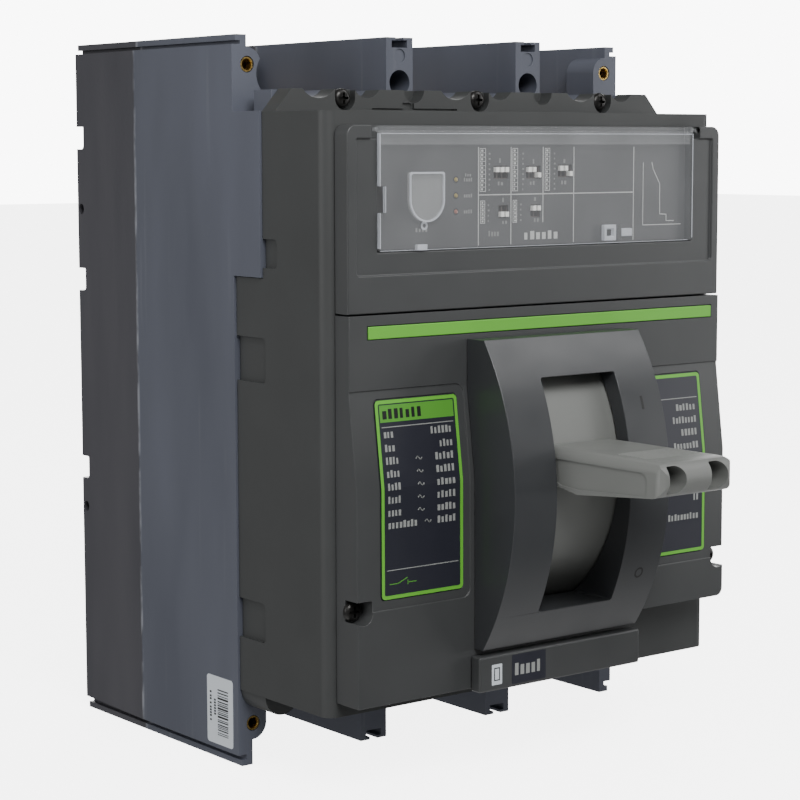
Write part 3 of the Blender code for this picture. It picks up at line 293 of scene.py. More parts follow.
def in_metres(point):
    """A drawing point in millimetres as a place in the frame, in metres."""
    return (point[0] * MM, point[1] * MM, (point[2] + FOOT) * MM)


def add_prism(bm, prism):
    """Adds a closed prism to the bmesh."""
    rings = []
    for distance in prism.span:
        places = [in_metres(placed(prism.axis, point, distance)) for point in prism.outline]
        rings.append([bm.verts.new(place) for place in places])
    faces = [bm.faces.new(rings[0]), bm.faces.new(rings[1])]
    count = len(prism.outline)
    for index in range(count):
        after = (index + 1) % count
        corners = (rings[0][index], rings[0][after], rings[1][after], rings[1][index])
        faces.append(bm.faces.new(corners))
    bmesh.ops.recalc_face_normals(bm, faces=faces)


def add_sheet(bm, sheet):
    """Adds outlines seen from the front as a sheet whose two faces follow the given depths."""
    flat = bmesh.new()
    for outline in sheet.outlines:
        flat.faces.new([flat.verts.new((x, 0.0, z)) for x, z in outline])
    bmesh.ops.remove_doubles(flat, verts=flat.verts, dist=0.001)
    for knee, _ in FASCIA_KNEES:
        parts = flat.verts[:] + flat.edges[:] + flat.faces[:]
        bmesh.ops.bisect_plane(flat, geom=parts, plane_co=(0, 0, knee), plane_no=(0, 0, 1))
    grown_out = bmesh.ops.extrude_face_region(flat, geom=flat.faces[:], use_keep_orig=True)
    raised = {part for part in grown_out["geom"] if isinstance(part, bmesh.types.BMVert)}
    for vertex in flat.verts:
        depth = sheet.front if vertex in raised else sheet.back
        vertex.co = in_metres((vertex.co.x, depth(vertex.co.z), vertex.co.z))
    bmesh.ops.recalc_face_normals(flat, faces=flat.faces)
    mesh = mesh_of("sheet", flat)
    bm.from_mesh(mesh)
    bpy.data.meshes.remove(mesh)


def mesh_of(name, bm):
    mesh = bpy.data.meshes.new(name)
    bm.to_mesh(mesh)
    bm.free()
    return mesh


def link(name, mesh, material):
    piece = bpy.data.objects.new(name, mesh)
    bpy.context.scene.collection.objects.link(piece)
    if material:
        mesh.materials.append(material)
    return piece


def solid(name, material, *shapes):
    """One object from shapes that don't touch each other."""
    bm = bmesh.new()
    for shape in shapes:
        add = add_sheet if isinstance(shape, Sheet) else add_prism
        add(bm, shape)
    return link(name, mesh_of(name, bm), material)


def settle(piece):
    """Applies the piece's modifiers and merges the flat faces that Booleans split."""
    graph = bpy.context.evaluated_depsgraph_get()
    mesh = bpy.data.meshes.new_from_object(piece.evaluated_get(graph))
    old = piece.data
    piece.modifiers.clear()
    bm = bmesh.new()
    bm.from_mesh(mesh)
    bmesh.ops.remove_doubles(bm, verts=bm.verts, dist=0.01 * MM)
    bmesh.ops.dissolve_limit(bm, angle_limit=math.radians(1), verts=bm.verts, edges=bm.edges)
    bm.to_mesh(mesh)
    bm.free()
    piece.data = mesh
    bpy.data.meshes.remove(old)


def combine(piece, operation, shapes):
    """Booleans each shape with the piece and keeps the result."""
    helpers = []
    for number, shape in enumerate(shapes):
        helper = solid(f"{piece.name}_{operation.lower()}_{number}", None, shape)
        modifier = piece.modifiers.new(helper.name, "BOOLEAN")
        modifier.operation = operation
        modifier.solver = "EXACT"
        modifier.object = helper
        helpers.append(helper)
    settle(piece)
    for helper in helpers:
        bpy.data.meshes.remove(helper.data)


def cut(piece, *shapes):
    combine(piece, "DIFFERENCE", shapes)


def fuse(piece, *shapes):
    combine(piece, "UNION", shapes)


def trim_to(piece, *shapes):
    combine(piece, "INTERSECT", shapes)


def round_edges(piece, width, segments=2, angle=32):
    """A small radius on every sharp edge, with shading that keeps the flat faces flat."""
    modifier = piece.modifiers.new("edge_radius", "BEVEL")
    modifier.width = width * MM
    modifier.segments = segments
    modifier.limit_method = "ANGLE"
    modifier.angle_limit = math.radians(angle)
    modifier.miter_outer = "MITER_ARC"
    shade(piece)


def shade(piece, angle=40):
    piece.data.shade_smooth()
    piece.data.set_sharp_from_angle(angle=math.radians(angle))
    piece.modifiers.new("flat_faces", "WEIGHTED_NORMAL").keep_sharp = True


def stands_for(piece, slot, *nodes, body="breaker"):
    """The piece moves with the body and replaces the nodes, which it hides; the slot is not used."""
    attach(piece, body)
    if nodes:
        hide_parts(*nodes)


def finish(piece, radius, slot, *nodes, body="breaker"):
    """Rounds the piece's edges and says what it stands for."""
    round_edges(piece, radius)
    stands_for(piece, slot, *nodes, body=body)


def lathe(name, material, centre, profile, sides=48):
    """A closed shape turned about an axis along Y, from (radius, y) points."""
    bm = bmesh.new()
    x, z = centre
    rings = []
    for radius, y in profile:
        if radius == 0:
            rings.append([bm.verts.new(in_metres((x, y, z)))])
            continue
        points = circle(centre, radius, sides)
        rings.append([bm.verts.new(in_metres((px, y, pz))) for px, pz in points])
    pairs = list(zip(rings, rings[1:]))
    if len(rings[0]) > 1:
        pairs.append((rings[-1], rings[0]))
    for first, second in pairs:
        for index in range(sides):
            after = (index + 1) % sides
            corners = [first[index % len(first)], first[after % len(first)]]
            corners += [second[after % len(second)], second[index % len(second)]]
            bm.faces.new(dict.fromkeys(corners))
    bmesh.ops.recalc_face_normals(bm, faces=bm.faces)
    return link(name, mesh_of(name, bm), material)


# ---- Materials ----


def add_node(tree, kind, inputs, **settings):
    """A shader node with these settings. Each input is a value or another node's output."""
    node = tree.nodes.new(f"ShaderNode{kind}")
    for name, value in settings.items():
        setattr(node, name, value)
    for name, value in inputs.items():
        if isinstance(value, bpy.types.NodeSocket):
            tree.links.new(value, node.inputs[name])
        else:
            node.inputs[name].default_value = value
    return node


def calculated(tree, operation, first, second=0.0):
    """The result of one step of arithmetic on values or outputs."""
    return add_node(tree, "Math", {0: first, 1: second}, operation=operation).outputs["Value"]


def noise_at(tree, scale, detail, stretch=(1.0, 1.0, 1.0)):
    """A noise texture in object space, whose scale counts waves per metre."""
    place = add_node(tree, "TexCoord", {}).outputs["Object"]
    vector = add_node(tree, "Mapping", {"Scale": stretch, "Vector": place}).outputs["Vector"]
    inputs = {"Scale": scale, "Detail": detail, "Vector": vector}
    return add_node(tree, "TexNoise", inputs).outputs["Fac"]


def remap(tree, source, low, high, from_low=0.3, from_high=0.7):
    inputs = {"From Min": from_low, "From Max": from_high, "To Min": low, "To Max": high}
    return add_node(tree, "MapRange", {**inputs, "Value": source}).outputs["Result"]


def mixed(tree, factor, first, second):
    """A colour between two, by a factor from 0 to 1. Each is a colour or an output that gives one."""
    inputs = {"Factor": factor}
    for name, colour in (("A", first), ("B", second)):
        inputs[name] = (*colour, 1.0) if isinstance(colour, tuple) else colour
    return add_node(tree, "Mix", inputs, data_type="RGBA").outputs["Result"]


def scaled(colour, amount):
    return tuple(c * amount for c in colour)


def new_material(name, colour, roughness, metallic=0.0):
    """A plain material, with its node tree and its shader."""
    material = bpy.data.materials.new(name)
    material.use_nodes = True
    shader = material.node_tree.nodes["Principled BSDF"]
    shader.inputs["Base Color"].default_value = (*colour, 1.0)
    shader.inputs["Roughness"].default_value = roughness
    shader.inputs["Metallic"].default_value = metallic
    material.diffuse_color = (*colour, 1.0)
    return material, material.node_tree, shader


def vary(tree, shader, noise, roughness, less, more):
    """Lets the roughness follow a noise, from less to more than its usual value."""
    gloss = remap(tree, noise, roughness - less, roughness + more)
    tree.links.new(gloss, shader.inputs["Roughness"])


def add_grain(tree, shader, scale, strength, distance=0.00006):
    height = noise_at(tree, scale, 2.0)
    inputs = {"Strength": strength, "Distance": distance, "Height": height}
    bump = add_node(tree, "Bump", inputs)
    tree.links.new(bump.outputs["Normal"], shader.inputs["Normal"])


def moulded_plastic(name, colour, roughness, grain=0.12, mottle=0.06):
    """Spark-eroded moulded plastic: a fine grain, slow colour drift and rubbed, shinier patches."""
    material, tree, shader = new_material(name, colour, roughness)
    factor = remap(tree, noise_at(tree, 22.0, 4.0), 0.0, 1.0)
    tint = mixed(tree, factor, scaled(colour, 1 - mottle), scaled(colour, 1 + mottle))
    tree.links.new(tint, shader.inputs["Base Color"])
    vary(tree, shader, noise_at(tree, 60.0, 5.0), roughness, 0.05, 0.05)
    add_grain(tree, shader, 2600.0, grain)
    return material


def ridge_highlight_and_scrape(tree, depth):
    """How strong the lighter ridge line is at a depth: a painted highlight along the ridge, broken
    into stretches of scraping.
    """
    distance = calculated(tree, "ABSOLUTE", calculated(tree, "ADD", depth, -RIDGE_Y * MM))
    line = remap(tree, distance, 0.75, 0.0, 0.0003, 0.0013)
    stretches = remap(tree, noise_at(tree, 160.0, 4.0, (1.0, 1.0, 0.5)), 0.0, 1.0, 0.4, 0.62)
    return calculated(tree, "MULTIPLY", line, stretches)


def base_plastic(name, colour, roughness):
    """The base's moulding: flow streaks, scuffs, a ridge line of painted highlight and scraping, and
    a rear band in painted shade.
    """
    material, tree, shader = new_material(name, colour, roughness)
    flow = noise_at(tree, 34.0, 6.0, (1.0, 1.0, 0.22))
    factor = remap(tree, flow, 0.0, 1.0)
    tint = mixed(tree, factor, scaled(colour, 0.88), scaled(colour, 1.1))
    scratch = noise_at(tree, 240.0, 3.0, (1.0, 1.0, 0.04))
    tint = mixed(tree, remap(tree, scratch, 0.0, 0.16, 0.64, 0.8), tint, SCRATCH_GREY)
    place = add_node(tree, "TexCoord", {}).outputs["Object"]
    depth = add_node(tree, "SeparateXYZ", {"Vector": place}).outputs["Y"]
    ridge = RIDGE_Y * MM
    # Behind the ridge the base is painted darker: painted shade where its sides draw in and face away
    # from the light.
    rear = remap(tree, depth, 0.0, 1.0, ridge - 0.0004, ridge + 0.0006)
    tint = mixed(tree, rear, tint, mixed(tree, factor, SHADED_REAR_BAND_DARK, SHADED_REAR_BAND))
    # The ridge line: a painted highlight along the ridge, with scraping, in a lighter grey.
    tint = mixed(tree, ridge_highlight_and_scrape(tree, depth), tint, RIDGE_HIGHLIGHT_AND_SCRAPE_GREY)
    tree.links.new(tint, shader.inputs["Base Color"])
    vary(tree, shader, flow, roughness, 0.08, 0.08)
    add_grain(tree, shader, 1500.0, 0.2, 0.00008)
    return material


def worn_metal(name, colour, roughness, metallic=1.0):
    """Metal with a fine uneven sheen."""
    material, tree, shader = new_material(name, colour, roughness, metallic)
    vary(tree, shader, noise_at(tree, 900.0, 3.0), roughness, 0.08, 0.12)
    factor = remap(tree, noise_at(tree, 140.0, 3.0), 0.0, 1.0)
    tint = mixed(tree, factor, scaled(colour, 0.75), colour)
    tree.links.new(tint, shader.inputs["Base Color"])
    return material


def clear_plastic(name, colour, alpha, roughness=0.1):
    """Clear moulded plastic: a thin veil of its own colour and a glossy skin."""
    material, tree, shader = new_material(name, colour, roughness)
    haze = remap(tree, noise_at(tree, 40.0, 4.0), alpha * 0.85, alpha * 1.15)
    tree.links.new(haze, shader.inputs["Alpha"])
    return material


SCRATCH_GREY = (0.22, 0.23, 0.25)
# Lighter grey of the ridge line: a painted highlight, partly scraping.
RIDGE_HIGHLIGHT_AND_SCRAPE_GREY = (0.26, 0.27, 0.3)
# The rear band's two tones are painted shade, for the sides behind the ridge that face away from the
# light.
SHADED_REAR_BAND = (0.058, 0.057, 0.066)
SHADED_REAR_BAND_DARK = (0.042, 0.042, 0.05)
MATERIALS = {
    "base_moulding": base_plastic("blue_grey_moulding", (0.08, 0.087, 0.112), 0.5),
    "housing_moulding": moulded_plastic("dark_grey_moulding", (0.037, 0.039, 0.039), 0.52, 0.16),
    "fascia_plastic": moulded_plastic("fascia_grey_plastic", (0.045, 0.047, 0.048), 0.44, 0.12, 0.04),
    "shroud_plastic": moulded_plastic("satin_grey_plastic", (0.037, 0.039, 0.042), 0.33, 0.06, 0.03),
    "handle_plastic": moulded_plastic("light_grey_plastic", (0.155, 0.16, 0.152), 0.46, 0.14, 0.04),
    "green_inlay": moulded_plastic("green_inlay", (0.12, 0.43, 0.035), 0.46, 0.05, 0.03),
    "label_film": moulded_plastic("label_film", (0.018, 0.019, 0.028), 0.4, 0.03, 0.04),
    "panel_film": moulded_plastic("panel_grey_film", (0.055, 0.056, 0.058), 0.45, 0.06, 0.03),
    "clear_plastic": clear_plastic("clear_window_plastic", (0.75, 0.77, 0.8), 0.07),
    "switch_plastic": moulded_plastic("white_actuator_plastic", (0.85, 0.85, 0.82), 0.4, 0.05, 0.03),
    "black_steel": worn_metal("black_steel", (0.03, 0.029, 0.028), 0.32, 0.7),
    "brass": worn_metal("brass_insert", (0.72, 0.5, 0.16), 0.28),
    "silvered_copper": worn_metal("silvered_copper", (0.74, 0.66, 0.58), 0.38, 0.7),
    "plated_steel": worn_metal("zinc_plated_steel", (0.55, 0.56, 0.58), 0.35),
    "phenolic": moulded_plastic("phenolic_moulding", (0.05, 0.036, 0.03), 0.6, 0.2),
}


def ink(name, colour, roughness=0.5):
    return moulded_plastic(name, colour, roughness, 0.02, 0.04)


WHITE_INK = ink("pale_grey_ink", (0.27, 0.28, 0.27))
PANEL_INK = ink("panel_white_ink", (0.5, 0.51, 0.5))
FAINT_INK = ink("faint_grey_ink", (0.2, 0.205, 0.2))
BLACK_INK = ink("black_ink", (0.006, 0.006, 0.006))
GREEN_INK = ink("green_ink", (0.08, 0.3, 0.03), 0.45)
LAMP_AMBER = ink("amber_lamp", (0.3, 0.24, 0.07), 0.25)
LAMP_RED = ink("red_lamp", (0.28, 0.12, 0.09), 0.25)
PAPER = moulded_plastic("sticker_paper", (0.6, 0.64, 0.68), 0.55, 0.04, 0.03)
FROSTED = clear_plastic("frosted_plastic", (0.8, 0.82, 0.84), 0.09, 0.3)
CLOUDY = clear_plastic("cloudy_plastic", (0.7, 0.72, 0.72), 0.17, 0.25)
# Pale clear plastic for the lug, its pin and the cap's loop; on the window's edges and the socket
# cap's rim its brightness is a painted highlight.
CLEAR_AND_HIGHLIGHT = clear_plastic("bright_plastic_edge", (0.75, 0.78, 0.84), 0.5, 0.15)


def dress_nodes():
    """Gives every node of the frame its slot's material and a small edge radius."""
    for subpart in frame["record"]["subparts"]:
        node = frame["nodes"][subpart["node"]]
        node.data.materials.clear()
        node.data.materials.append(MATERIALS[subpart["material_slot"]])
        modifier = node.modifiers.new("edge_radius", "BEVEL")
        modifier.width = 0.15 * MM
        modifier.limit_method = "ANGLE"
        modifier.angle_limit = math.radians(40)


# ---- Rear base ----


def scallops():
    """Two round channels across the shoulder by each pole."""
    return [
        cylinder("Y", (pole + offset, height), radius, SCALLOP_Y)
        for pole in POLES
        for offset, height, radius in SCALLOPS
    ]


def base_outline():
    """The base from above: sides that draw in behind a ridge, and a small radius at the rear."""
    right = [
        (BASE_HALF - 2.3, 0.0),
        (BASE_HALF - 1.5, -0.8),
        (BASE_HALF, RIDGE_Y),
        (BASE_HALF, BASE_FRONT),
    ]
    return right + mirrored(reversed(right))


def chambers(y, z):
    """One hollow for each pole, with rounded corners at its back."""
    inner = PARTITIONS[1] - PARTITION_HALF
    outer = PARTITIONS[1] + PARTITION_HALF
    spans = (*both_sides(outer, WALL_INNER), (-inner, inner))
    return [Prism("Z", rounded(x, y, (0, 0, 3.0, 3.0)), z) for x in spans]


def base_block():
    """The walls of the base, its three rows of chambers and the bars across its front."""
    block = Prism("Z", base_outline(), (0.0, BASE_HEIGHT))
    base = solid("base_moulding", MATERIALS["base_moulding"], block)
    tab = (PARTITION_FRONT, BASE_FRONT + 1)
    fuse(base, *[box(x, tab, SIDE_TAB_Z) for x in both_sides(WALL_INNER, BASE_HALF)])
    lower, upper = CROSS_WALLS
    middle = (lower[1], upper[0])
    cut(base, *chambers((IN_FRONT, TERMINAL_SEAT), (PARTITION_Z[0] - PAST, lower[0])))
    cut(base, *chambers((IN_FRONT, TERMINAL_SEAT), (upper[1], PARTITION_Z[1] + PAST)))
    cut(base, *chambers((IN_FRONT, CHAMBER_BACK), middle))
    cut(base, box((-WALL_INNER, WALL_INNER), (IN_FRONT, -88.0), middle))
    for centre in PARTITIONS:
        x = around(centre, PARTITION_HALF)
        fuse(
            base,
            box(x, (PARTITION_FRONT, PARTITION_BACK), (upper[0], PARTITION_Z[1])),
            box(x, (BASE_FRONT, PARTITION_BACK), (PARTITION_Z[0], lower[1])),
        )
    across = (-WALL_INNER - 1.0, WALL_INNER + 1.0)
    fuse(
        base,
        box(across, (PARTITION_FRONT, -135.0), (upper[0], SHOULDER_TOP - GAP)),
        box(across, (BASE_FRONT, -118.0), (30.0, lower[1])),
    )
    return base


def edge_rails():
    """The grooved rail along the top and foot of each outer wall."""
    rails = []
    span = (BASE_FRONT, -2.8)
    foot, top = PARTITION_Z
    for web, lip in zip(both_sides(98.0, 101.0), both_sides(98.0, 103.3)):
        rails.append(box(web, span, (BASE_HEIGHT - 6.0, top)))
        rails.append(box(lip, span, (top - 2.3, top + 0.2)))
        rails.append(box(web, span, (foot, 6.0)))
        rails.append(box(lip, span, (foot - 0.2, foot + 2.3)))
    return rails


def insert_ears():
    """The bosses around the brass inserts, inside the front edge of the outer walls."""
    ears = []
    span = (BASE_FRONT, BASE_FRONT + 18.0)
    for side in (-1, 1):
        x = side * WALL_INNER
        for height, (low, high) in zip(INSERT_HEIGHTS, ((12.8, 50.0), (240.0, 283.1))):
            ears.append(box(around(x, EAR_RADIUS), span, (low, high)))
            ears.append(cylinder("Y", (x, height), EAR_RADIUS, span))
    return ears


def tee_slots():
    """Slots for the phase barriers, open at the top and foot of each partition."""
    slots = []
    for centre in PARTITIONS:
        for end, inward in zip(PARTITION_Z, (1, -1)):
            mouth = sorted((end - 3.0 * inward, end + 1.5 * inward))
            head = sorted((end + 1.2 * inward, end + 4.2 * inward))
            slots.append(box(around(centre, 2.0), (IN_FRONT, CHAMBER_BACK), mouth))
            slots.append(box(around(centre, 4.0), (IN_FRONT, CHAMBER_BACK), head))
    return slots


def rear_notches():
    """Square and round notches in the rear corner of each side panel."""
    notches = []
    for x in both_sides(94.0, 110.0):
        for z in ((249.3, 259.1), (186.4, 196.4), (101.4, 111.5)):
            notches.append(Prism("X", rounded((-6.8, PAST), z, (1.8, 0, 0, 0.6)), x))
        for height in (222.8, 88.6):
            notches.append(cylinder("X", (-4.0, height), 2.3, x, 24))
    return notches


def mounting_holes():
    """Screw holes through the partitions' ends, each with a wide channel in front for the head."""
    holes = []
    for centre in PARTITIONS:
        for height in MOUNTING_HEIGHTS:
            holes.append(cylinder("Y", (centre, height), 3.25, (-30.0, PAST), 32))
            holes.append(cylinder("Y", (centre, height), CHANNEL_RADIUS, (IN_FRONT, -20.0)))
    return holes


def terminal_seats():
    """The slots that the copper bars pass, and two shallow panels for each pole in the rear face."""
    seats = []
    for pole in POLES:
        for wall in CROSS_WALLS:
            seats.append(box(around(pole, 22.3), (-56.3, TERMINAL_SEAT), grown(wall, 4.0)))
        for z in ((75.0, 135.0), (155.0, 215.0)):
            seats.append(Prism("Y", rounded(around(pole, 20.0), z, (3, 3, 3, 3)), (-2.0, PAST)))
    return seats


def make_base():
    """The blue-grey base with its rails, ears, slots, notches, holes and seats."""
    base = base_block()
    fuse(base, *edge_rails())
    fuse(base, *insert_ears())
    cut(base, *scallops())
    cut(base, *tee_slots())
    cut(base, *rear_notches())
    cut(base, *mounting_holes())
    cut(base, *terminal_seats())
    mark_depth = (IN_FRONT, PARTITION_FRONT + 0.4)
    cut(base, *[cylinder("Y", (x, 287.2), 2.9, mark_depth, 32) for x in PARTITIONS])
    front = (BASE_FRONT - PAST, BASE_FRONT + 13.0)
    for height in INSERT_HEIGHTS:
        centres = [(-INSERT_X, height), (INSERT_X, height)]
        cut(base, *[cylinder("Y", centre, INSERT_HOLE_RADIUS, front, 32) for centre in centres])
    cut(base, cylinder("X", CONTACT_SHAFT, SHAFT_ROOM_RADIUS, (-60.0, 60.0)))
    finish(base, 0.45, "base_moulding", "rear_base")


def make_inserts():
    """Brass sleeves with a countersunk mouth."""
    front = BASE_FRONT + GAP
    back = front + 12.0
    profile = ((1.9, front + 0.8), (2.4, front), (3.0, front), (3.0, back), (1.9, back))
    for end, height in zip(("lower", "upper"), INSERT_HEIGHTS):
        for hand, side in (("left", -1), ("right", 1)):
            centre = (side * INSERT_X, height)
            sleeve = lathe(f"brass_sleeve_{end}_{hand}", MATERIALS["brass"], centre, profile)
            shade(sleeve)
            stands_for(sleeve, "brass", f"brass_insert_{end}_{hand}")


def make_sticker():
    """A plain paper sticker low on the left side, with stacked bars and a few grey marks."""
    y, z = (-124.4, -105.0), (1.8, 30.7)
    face = (-BASE_HALF - 0.12, -BASE_HALF + 0.05)
    sticker = solid("side_sticker", PAPER, Prism("X", rounded(y, z, (1.5,) * 4), face))
    stands_for(sticker, "label_film")
    rng = random.Random(4)
    bars = []
    height = z[0] + 4.0
    while height < z[1] - 5.0:
        thickness = rng.choice((0.3, 0.5, 0.8))
        bars.append(box(grown(face, INK), (-120.9, -113.0), (height, height + thickness)))
        height += thickness + rng.choice((0.35, 0.5, 0.8))
    for column, low, high in ((-111.6, 14.0, 20.5), (-108.4, 11.0, 24.0)):
        height = low
        while height < high:
            bars.append(box(grown(face, INK), (column, column + 1.3), (height, height + 0.8)))
            height += rng.choice((1.2, 1.2, 1.8))
    stands_for(solid("side_sticker_marks", BLACK_INK, *bars), "label_film")


# ---- Housing ----


def housing_outline():
    corner = arc((HOUSING_HALF - 5.0, HOUSING_FRONT + 5.0), 5.0, -90, 0, 8)
    right = corner + [(HOUSING_HALF, BASE_FRONT - GAP)]
    return right + mirrored(reversed(right))


def shoulder_outline():
    foot = HOUSING_Z[1] - 6.0
    right = [(HOUSING_HALF, foot), (HOUSING_HALF, HOUSING_Z[1]), (96.0, SHOULDER_TOP)]
    return right + mirrored(reversed(right))


def screw_holes(span):
    """The holes that the front screws pass."""
    return [cylinder("Y", centre, SCREW_HOLE_RADIUS, span, 24) for centre in FRONT_SCREWS]


def side_pockets():
    """Shallow pockets that run forward from the parting line, with rounded front corners."""
    pockets = []
    heights = ((-157.4, (202.5, 214.0)), (-148.9, (156.4, 174.5)), (-147.3, (50.5, 66.8)))
    for x in both_sides(HOUSING_HALF - 1.5, HOUSING_HALF + PAST):
        for front, z in heights:
            pockets.append(Prism("X", rounded((front, -120.0), z, (2, 0, 0, 2)), x))
    return pockets


def screw_pockets():
    """An open-topped pocket around each screw head in the shoulder."""
    pockets = []
    span = (SHOULDER_FRONT - PAST, TOP_SCREW_SEAT + GAP)
    hole = (SHOULDER_FRONT, -130.0)
    for pole in POLES:
        outline = arc((pole, TOP_SCREW_Z), 5.0, 180, 360, 24)
        outline += [(pole + 5.0, SHOULDER_TOP + PAST), (pole - 5.0, SHOULDER_TOP + PAST)]
        pockets.append(Prism("Y", outline, span))
        pockets.append(cylinder("Y", (pole, TOP_SCREW_Z), SCREW_HOLE_RADIUS, hole, 24))
    return pockets


def flap_slit():
    """The slit around the small flap in the shoulder's front, with its step."""
    outline = [(-56.6, 264.9), (-12.3, 264.9), (-12.3, 265.6), (-35.0, 265.6), (-35.0, 267.9)]
    outline += [(-41.0, 267.9), (-41.0, 267.2), (-40.0, 265.6), (-56.6, 265.6)]
    return Prism("Y", outline, (SHOULDER_FRONT - PAST, SHOULDER_FRONT + 1.2))


def make_housing():
    """The dark shell with its shoulder, and a lobe at each lower corner."""
    block = Prism("Z", housing_outline(), HOUSING_Z)
    housing = solid("housing_shell", MATERIALS["housing_moulding"], block)
    wide = grown((-HOUSING_HALF, HOUSING_HALF), PAST)
    back = PARTITION_FRONT - GAP
    cut(housing, box(wide, (back, BEHIND_HOUSING), (SIDE_TAB_Z[0] - GAP, SHOULDER_TOP + PAST)))
    fuse(housing, Prism("Y", shoulder_outline(), (SHOULDER_FRONT, back)))
    lobe = (-146.0, BASE_FRONT - GAP)
    fuse(housing, *[cylinder("Y", (s * 95.0, HOUSING_Z[0]), 8.5, lobe) for s in (-1, 1)])
    cut(housing, *scallops())
    channel = (-170.0, SHOULDER_FRONT + 7.0)
    cut(housing, *[cylinder("Y", (x, SHOULDER_TOP), CHANNEL_RADIUS, channel) for x in PARTITIONS])
    inside = grown((-HOUSING_HALF, HOUSING_HALF), -HOUSING_WALL)
    back_of_wall = HOUSING_FRONT + HOUSING_WALL
    cut(housing, box(inside, (back_of_wall, BEHIND_HOUSING), grown(HOUSING_Z, -HOUSING_WALL)))
    wall = (HOUSING_FRONT - PAST, back_of_wall + PAST)
    cut(housing, box((-31.0, 31.0), wall, (46.0, 186.0)), box((-86.0, 86.0), wall, (204.0, 250.0)))
    cut(housing, *side_pockets())
    cut(housing, *screw_pockets())
    cut(housing, flap_slit())
    for hole in screw_holes(wall):
        cut(housing, hole)
    finish(housing, 0.5, "housing_moulding", "main_housing")


# ---- Screws ----


def make_screw(node, centre, seat):
    """A pan-head screw along Y with a cross recess."""
    x, z = centre
    profile = [(0, seat - 2.6), (1.9, seat - 2.5)]
    for turn in (0.35, 0.8, 1.2, 1.57):
        profile.append((1.9 + 2.0 * math.sin(turn), seat - 0.9 - 1.6 * math.cos(turn)))
    profile += [(3.9, seat), (2.0, seat), (2.0, seat + 12.0), (0, seat + 12.0)]
    screw = lathe(node.replace("screw", "pan_head_screw"), MATERIALS["black_steel"], centre, profile)
    depth = (seat - 4.0, seat - 1.0)
    cut(screw, box(around(x, 2.3), depth, around(z, 0.5)))
    cut(screw, box(around(x, 0.5), depth, around(z, 2.3)))
    cut(screw, cylinder("Y", centre, 1.0, (seat - 4.0, seat - 0.7), 16))
    shade(screw, 35)
    stands_for(screw, "black_steel", node)


def make_screws():
    for hand, pole in zip(("left", "middle", "right"), POLES):
        make_screw(f"top_screw_{hand}", (pole, TOP_SCREW_Z), TOP_SCREW_SEAT)
    for hand, centre in zip(("left", "right"), FRONT_SCREWS):
        make_screw(f"front_screw_{hand}", centre, FRONT_SCREW_SEAT)


# ---- Upper cover and trip unit face ----


def make_upper_cover():
    """The upper cover, with its shallow recess and the opening that the clear window closes."""
    outline = rounded((-COVER_HALF, COVER_HALF), UPPER_Z, (0, 0, 4.0, 4.0))
    block = Prism("Y", outline, (UPPER_FRONT, COVER_BACK))
    cover = solid("upper_cover_shell", MATERIALS["fascia_plastic"], block)
    front = UPPER_FRONT - PAST
    recess = rounded((-95.5, 96.0), (201.0, RECESS_TOP), (1.5, 1.5, 0.5, 0.5))
    cut(cover, Prism("Y", recess, (front, UPPER_FRONT + 1)))
    tall = (WINDOW_Z[0] - 0.5, UPPER_Z[1] + PAST)
    cut(cover, box(grown(WINDOW_X, 0.5), (front, FLOOR_FRONT), tall))
    cut(cover, box((-88.4, 88.1), (front, HINGE[0] + 3.0), (RECESS_TOP, UPPER_Z[1] + PAST)))
    cut(cover, box((-26.3, 22.8), (front, COVER_BACK + PAST), (218.2, 246.3)))
    pegs = both_sides(87.0, COVER_HALF - 3.0)
    cut(cover, *[cylinder("X", HINGE, 1.1, peg, 16) for peg in pegs])
    finish(cover, 0.5, "fascia_plastic", "trip_unit_cover")


def level(y):
    """A depth that is the same at every height."""
    return lambda z: y


def print_on(name, material, outlines, surface, slot="label_film"):
    """Printed marks that stand a hair above a surface, which is a depth for each height."""
    sheet = Sheet(outlines, lambda z: surface(z) - INK, lambda z: surface(z) + INK)
    stands_for(solid(name, material, sheet), slot)


def block_word(rng, left, foot, length, height, pitch=1.9):
    """A word of plain blocks, one for each letter that it stands for."""
    blocks = []
    count = max(1, round(length / pitch))
    step = length / count
    for index in range(count):
        start = left + index * step
        width = step * rng.uniform(0.5, 0.7)
        top = foot + height * rng.choice((0.82, 1.0))
        blocks.append(rounded((start, start + width), (foot, top)))
    return blocks


def frame_lines(x, z, half):
    return band(rounded(grown(x, half), grown(z, half)), rounded(grown(x, -half), grown(z, -half)))


def scale_ladder(rng, x, z, rungs):
    """A narrow scale: a frame with a rung at each value, and a small mark between the rungs."""
    step = (z[1] - z[0]) / rungs
    marks = frame_lines(x, z, 0.12)
    for rung in range(rungs):
        middle = z[0] + step * (rung + 0.5)
        if rung:
            marks.append(rounded(grown(x, -0.2), around(z[0] + step * rung, 0.1)))
        across = (x[0] + 0.6, x[0] + 0.6 + rng.uniform(0.6, 1.2))
        marks.append(rounded(across, around(middle, step * 0.24)))
    return marks


def panel_outlines(rng):
    """The lines and scales printed on the settings panel."""
    lines = [rounded(around(x, 0.2), (210.9, 250.0)) for x in (-31.7, -14.6, 19.5, 53.5)]
    lines.append(rounded(around(2.6, 0.2), (219.5, 250.0)))
    lines.append(rounded((-31.6, 53.4), around(231.0, 0.2)))
    for x in ((-30.9, -28.0), (-13.8, -11.1), (3.7, 6.2)):
        lines += scale_ladder(rng, x, (232.4, 249.4), 10)
    for x in ((-30.6, -28.4), (-13.5, -11.5)):
        lines += scale_ladder(rng, x, (219.7, 228.6), 6)
    return lines


def mark_column(rng, x, foot, pitch, rows):
    """A column of small marks, one above the other."""
    marks = []
    for row in range(rows):
        low = foot + pitch * row
        marks.append(rounded((x, x + rng.uniform(0.5, 1.0)), (low, low + 0.7)))
    return marks


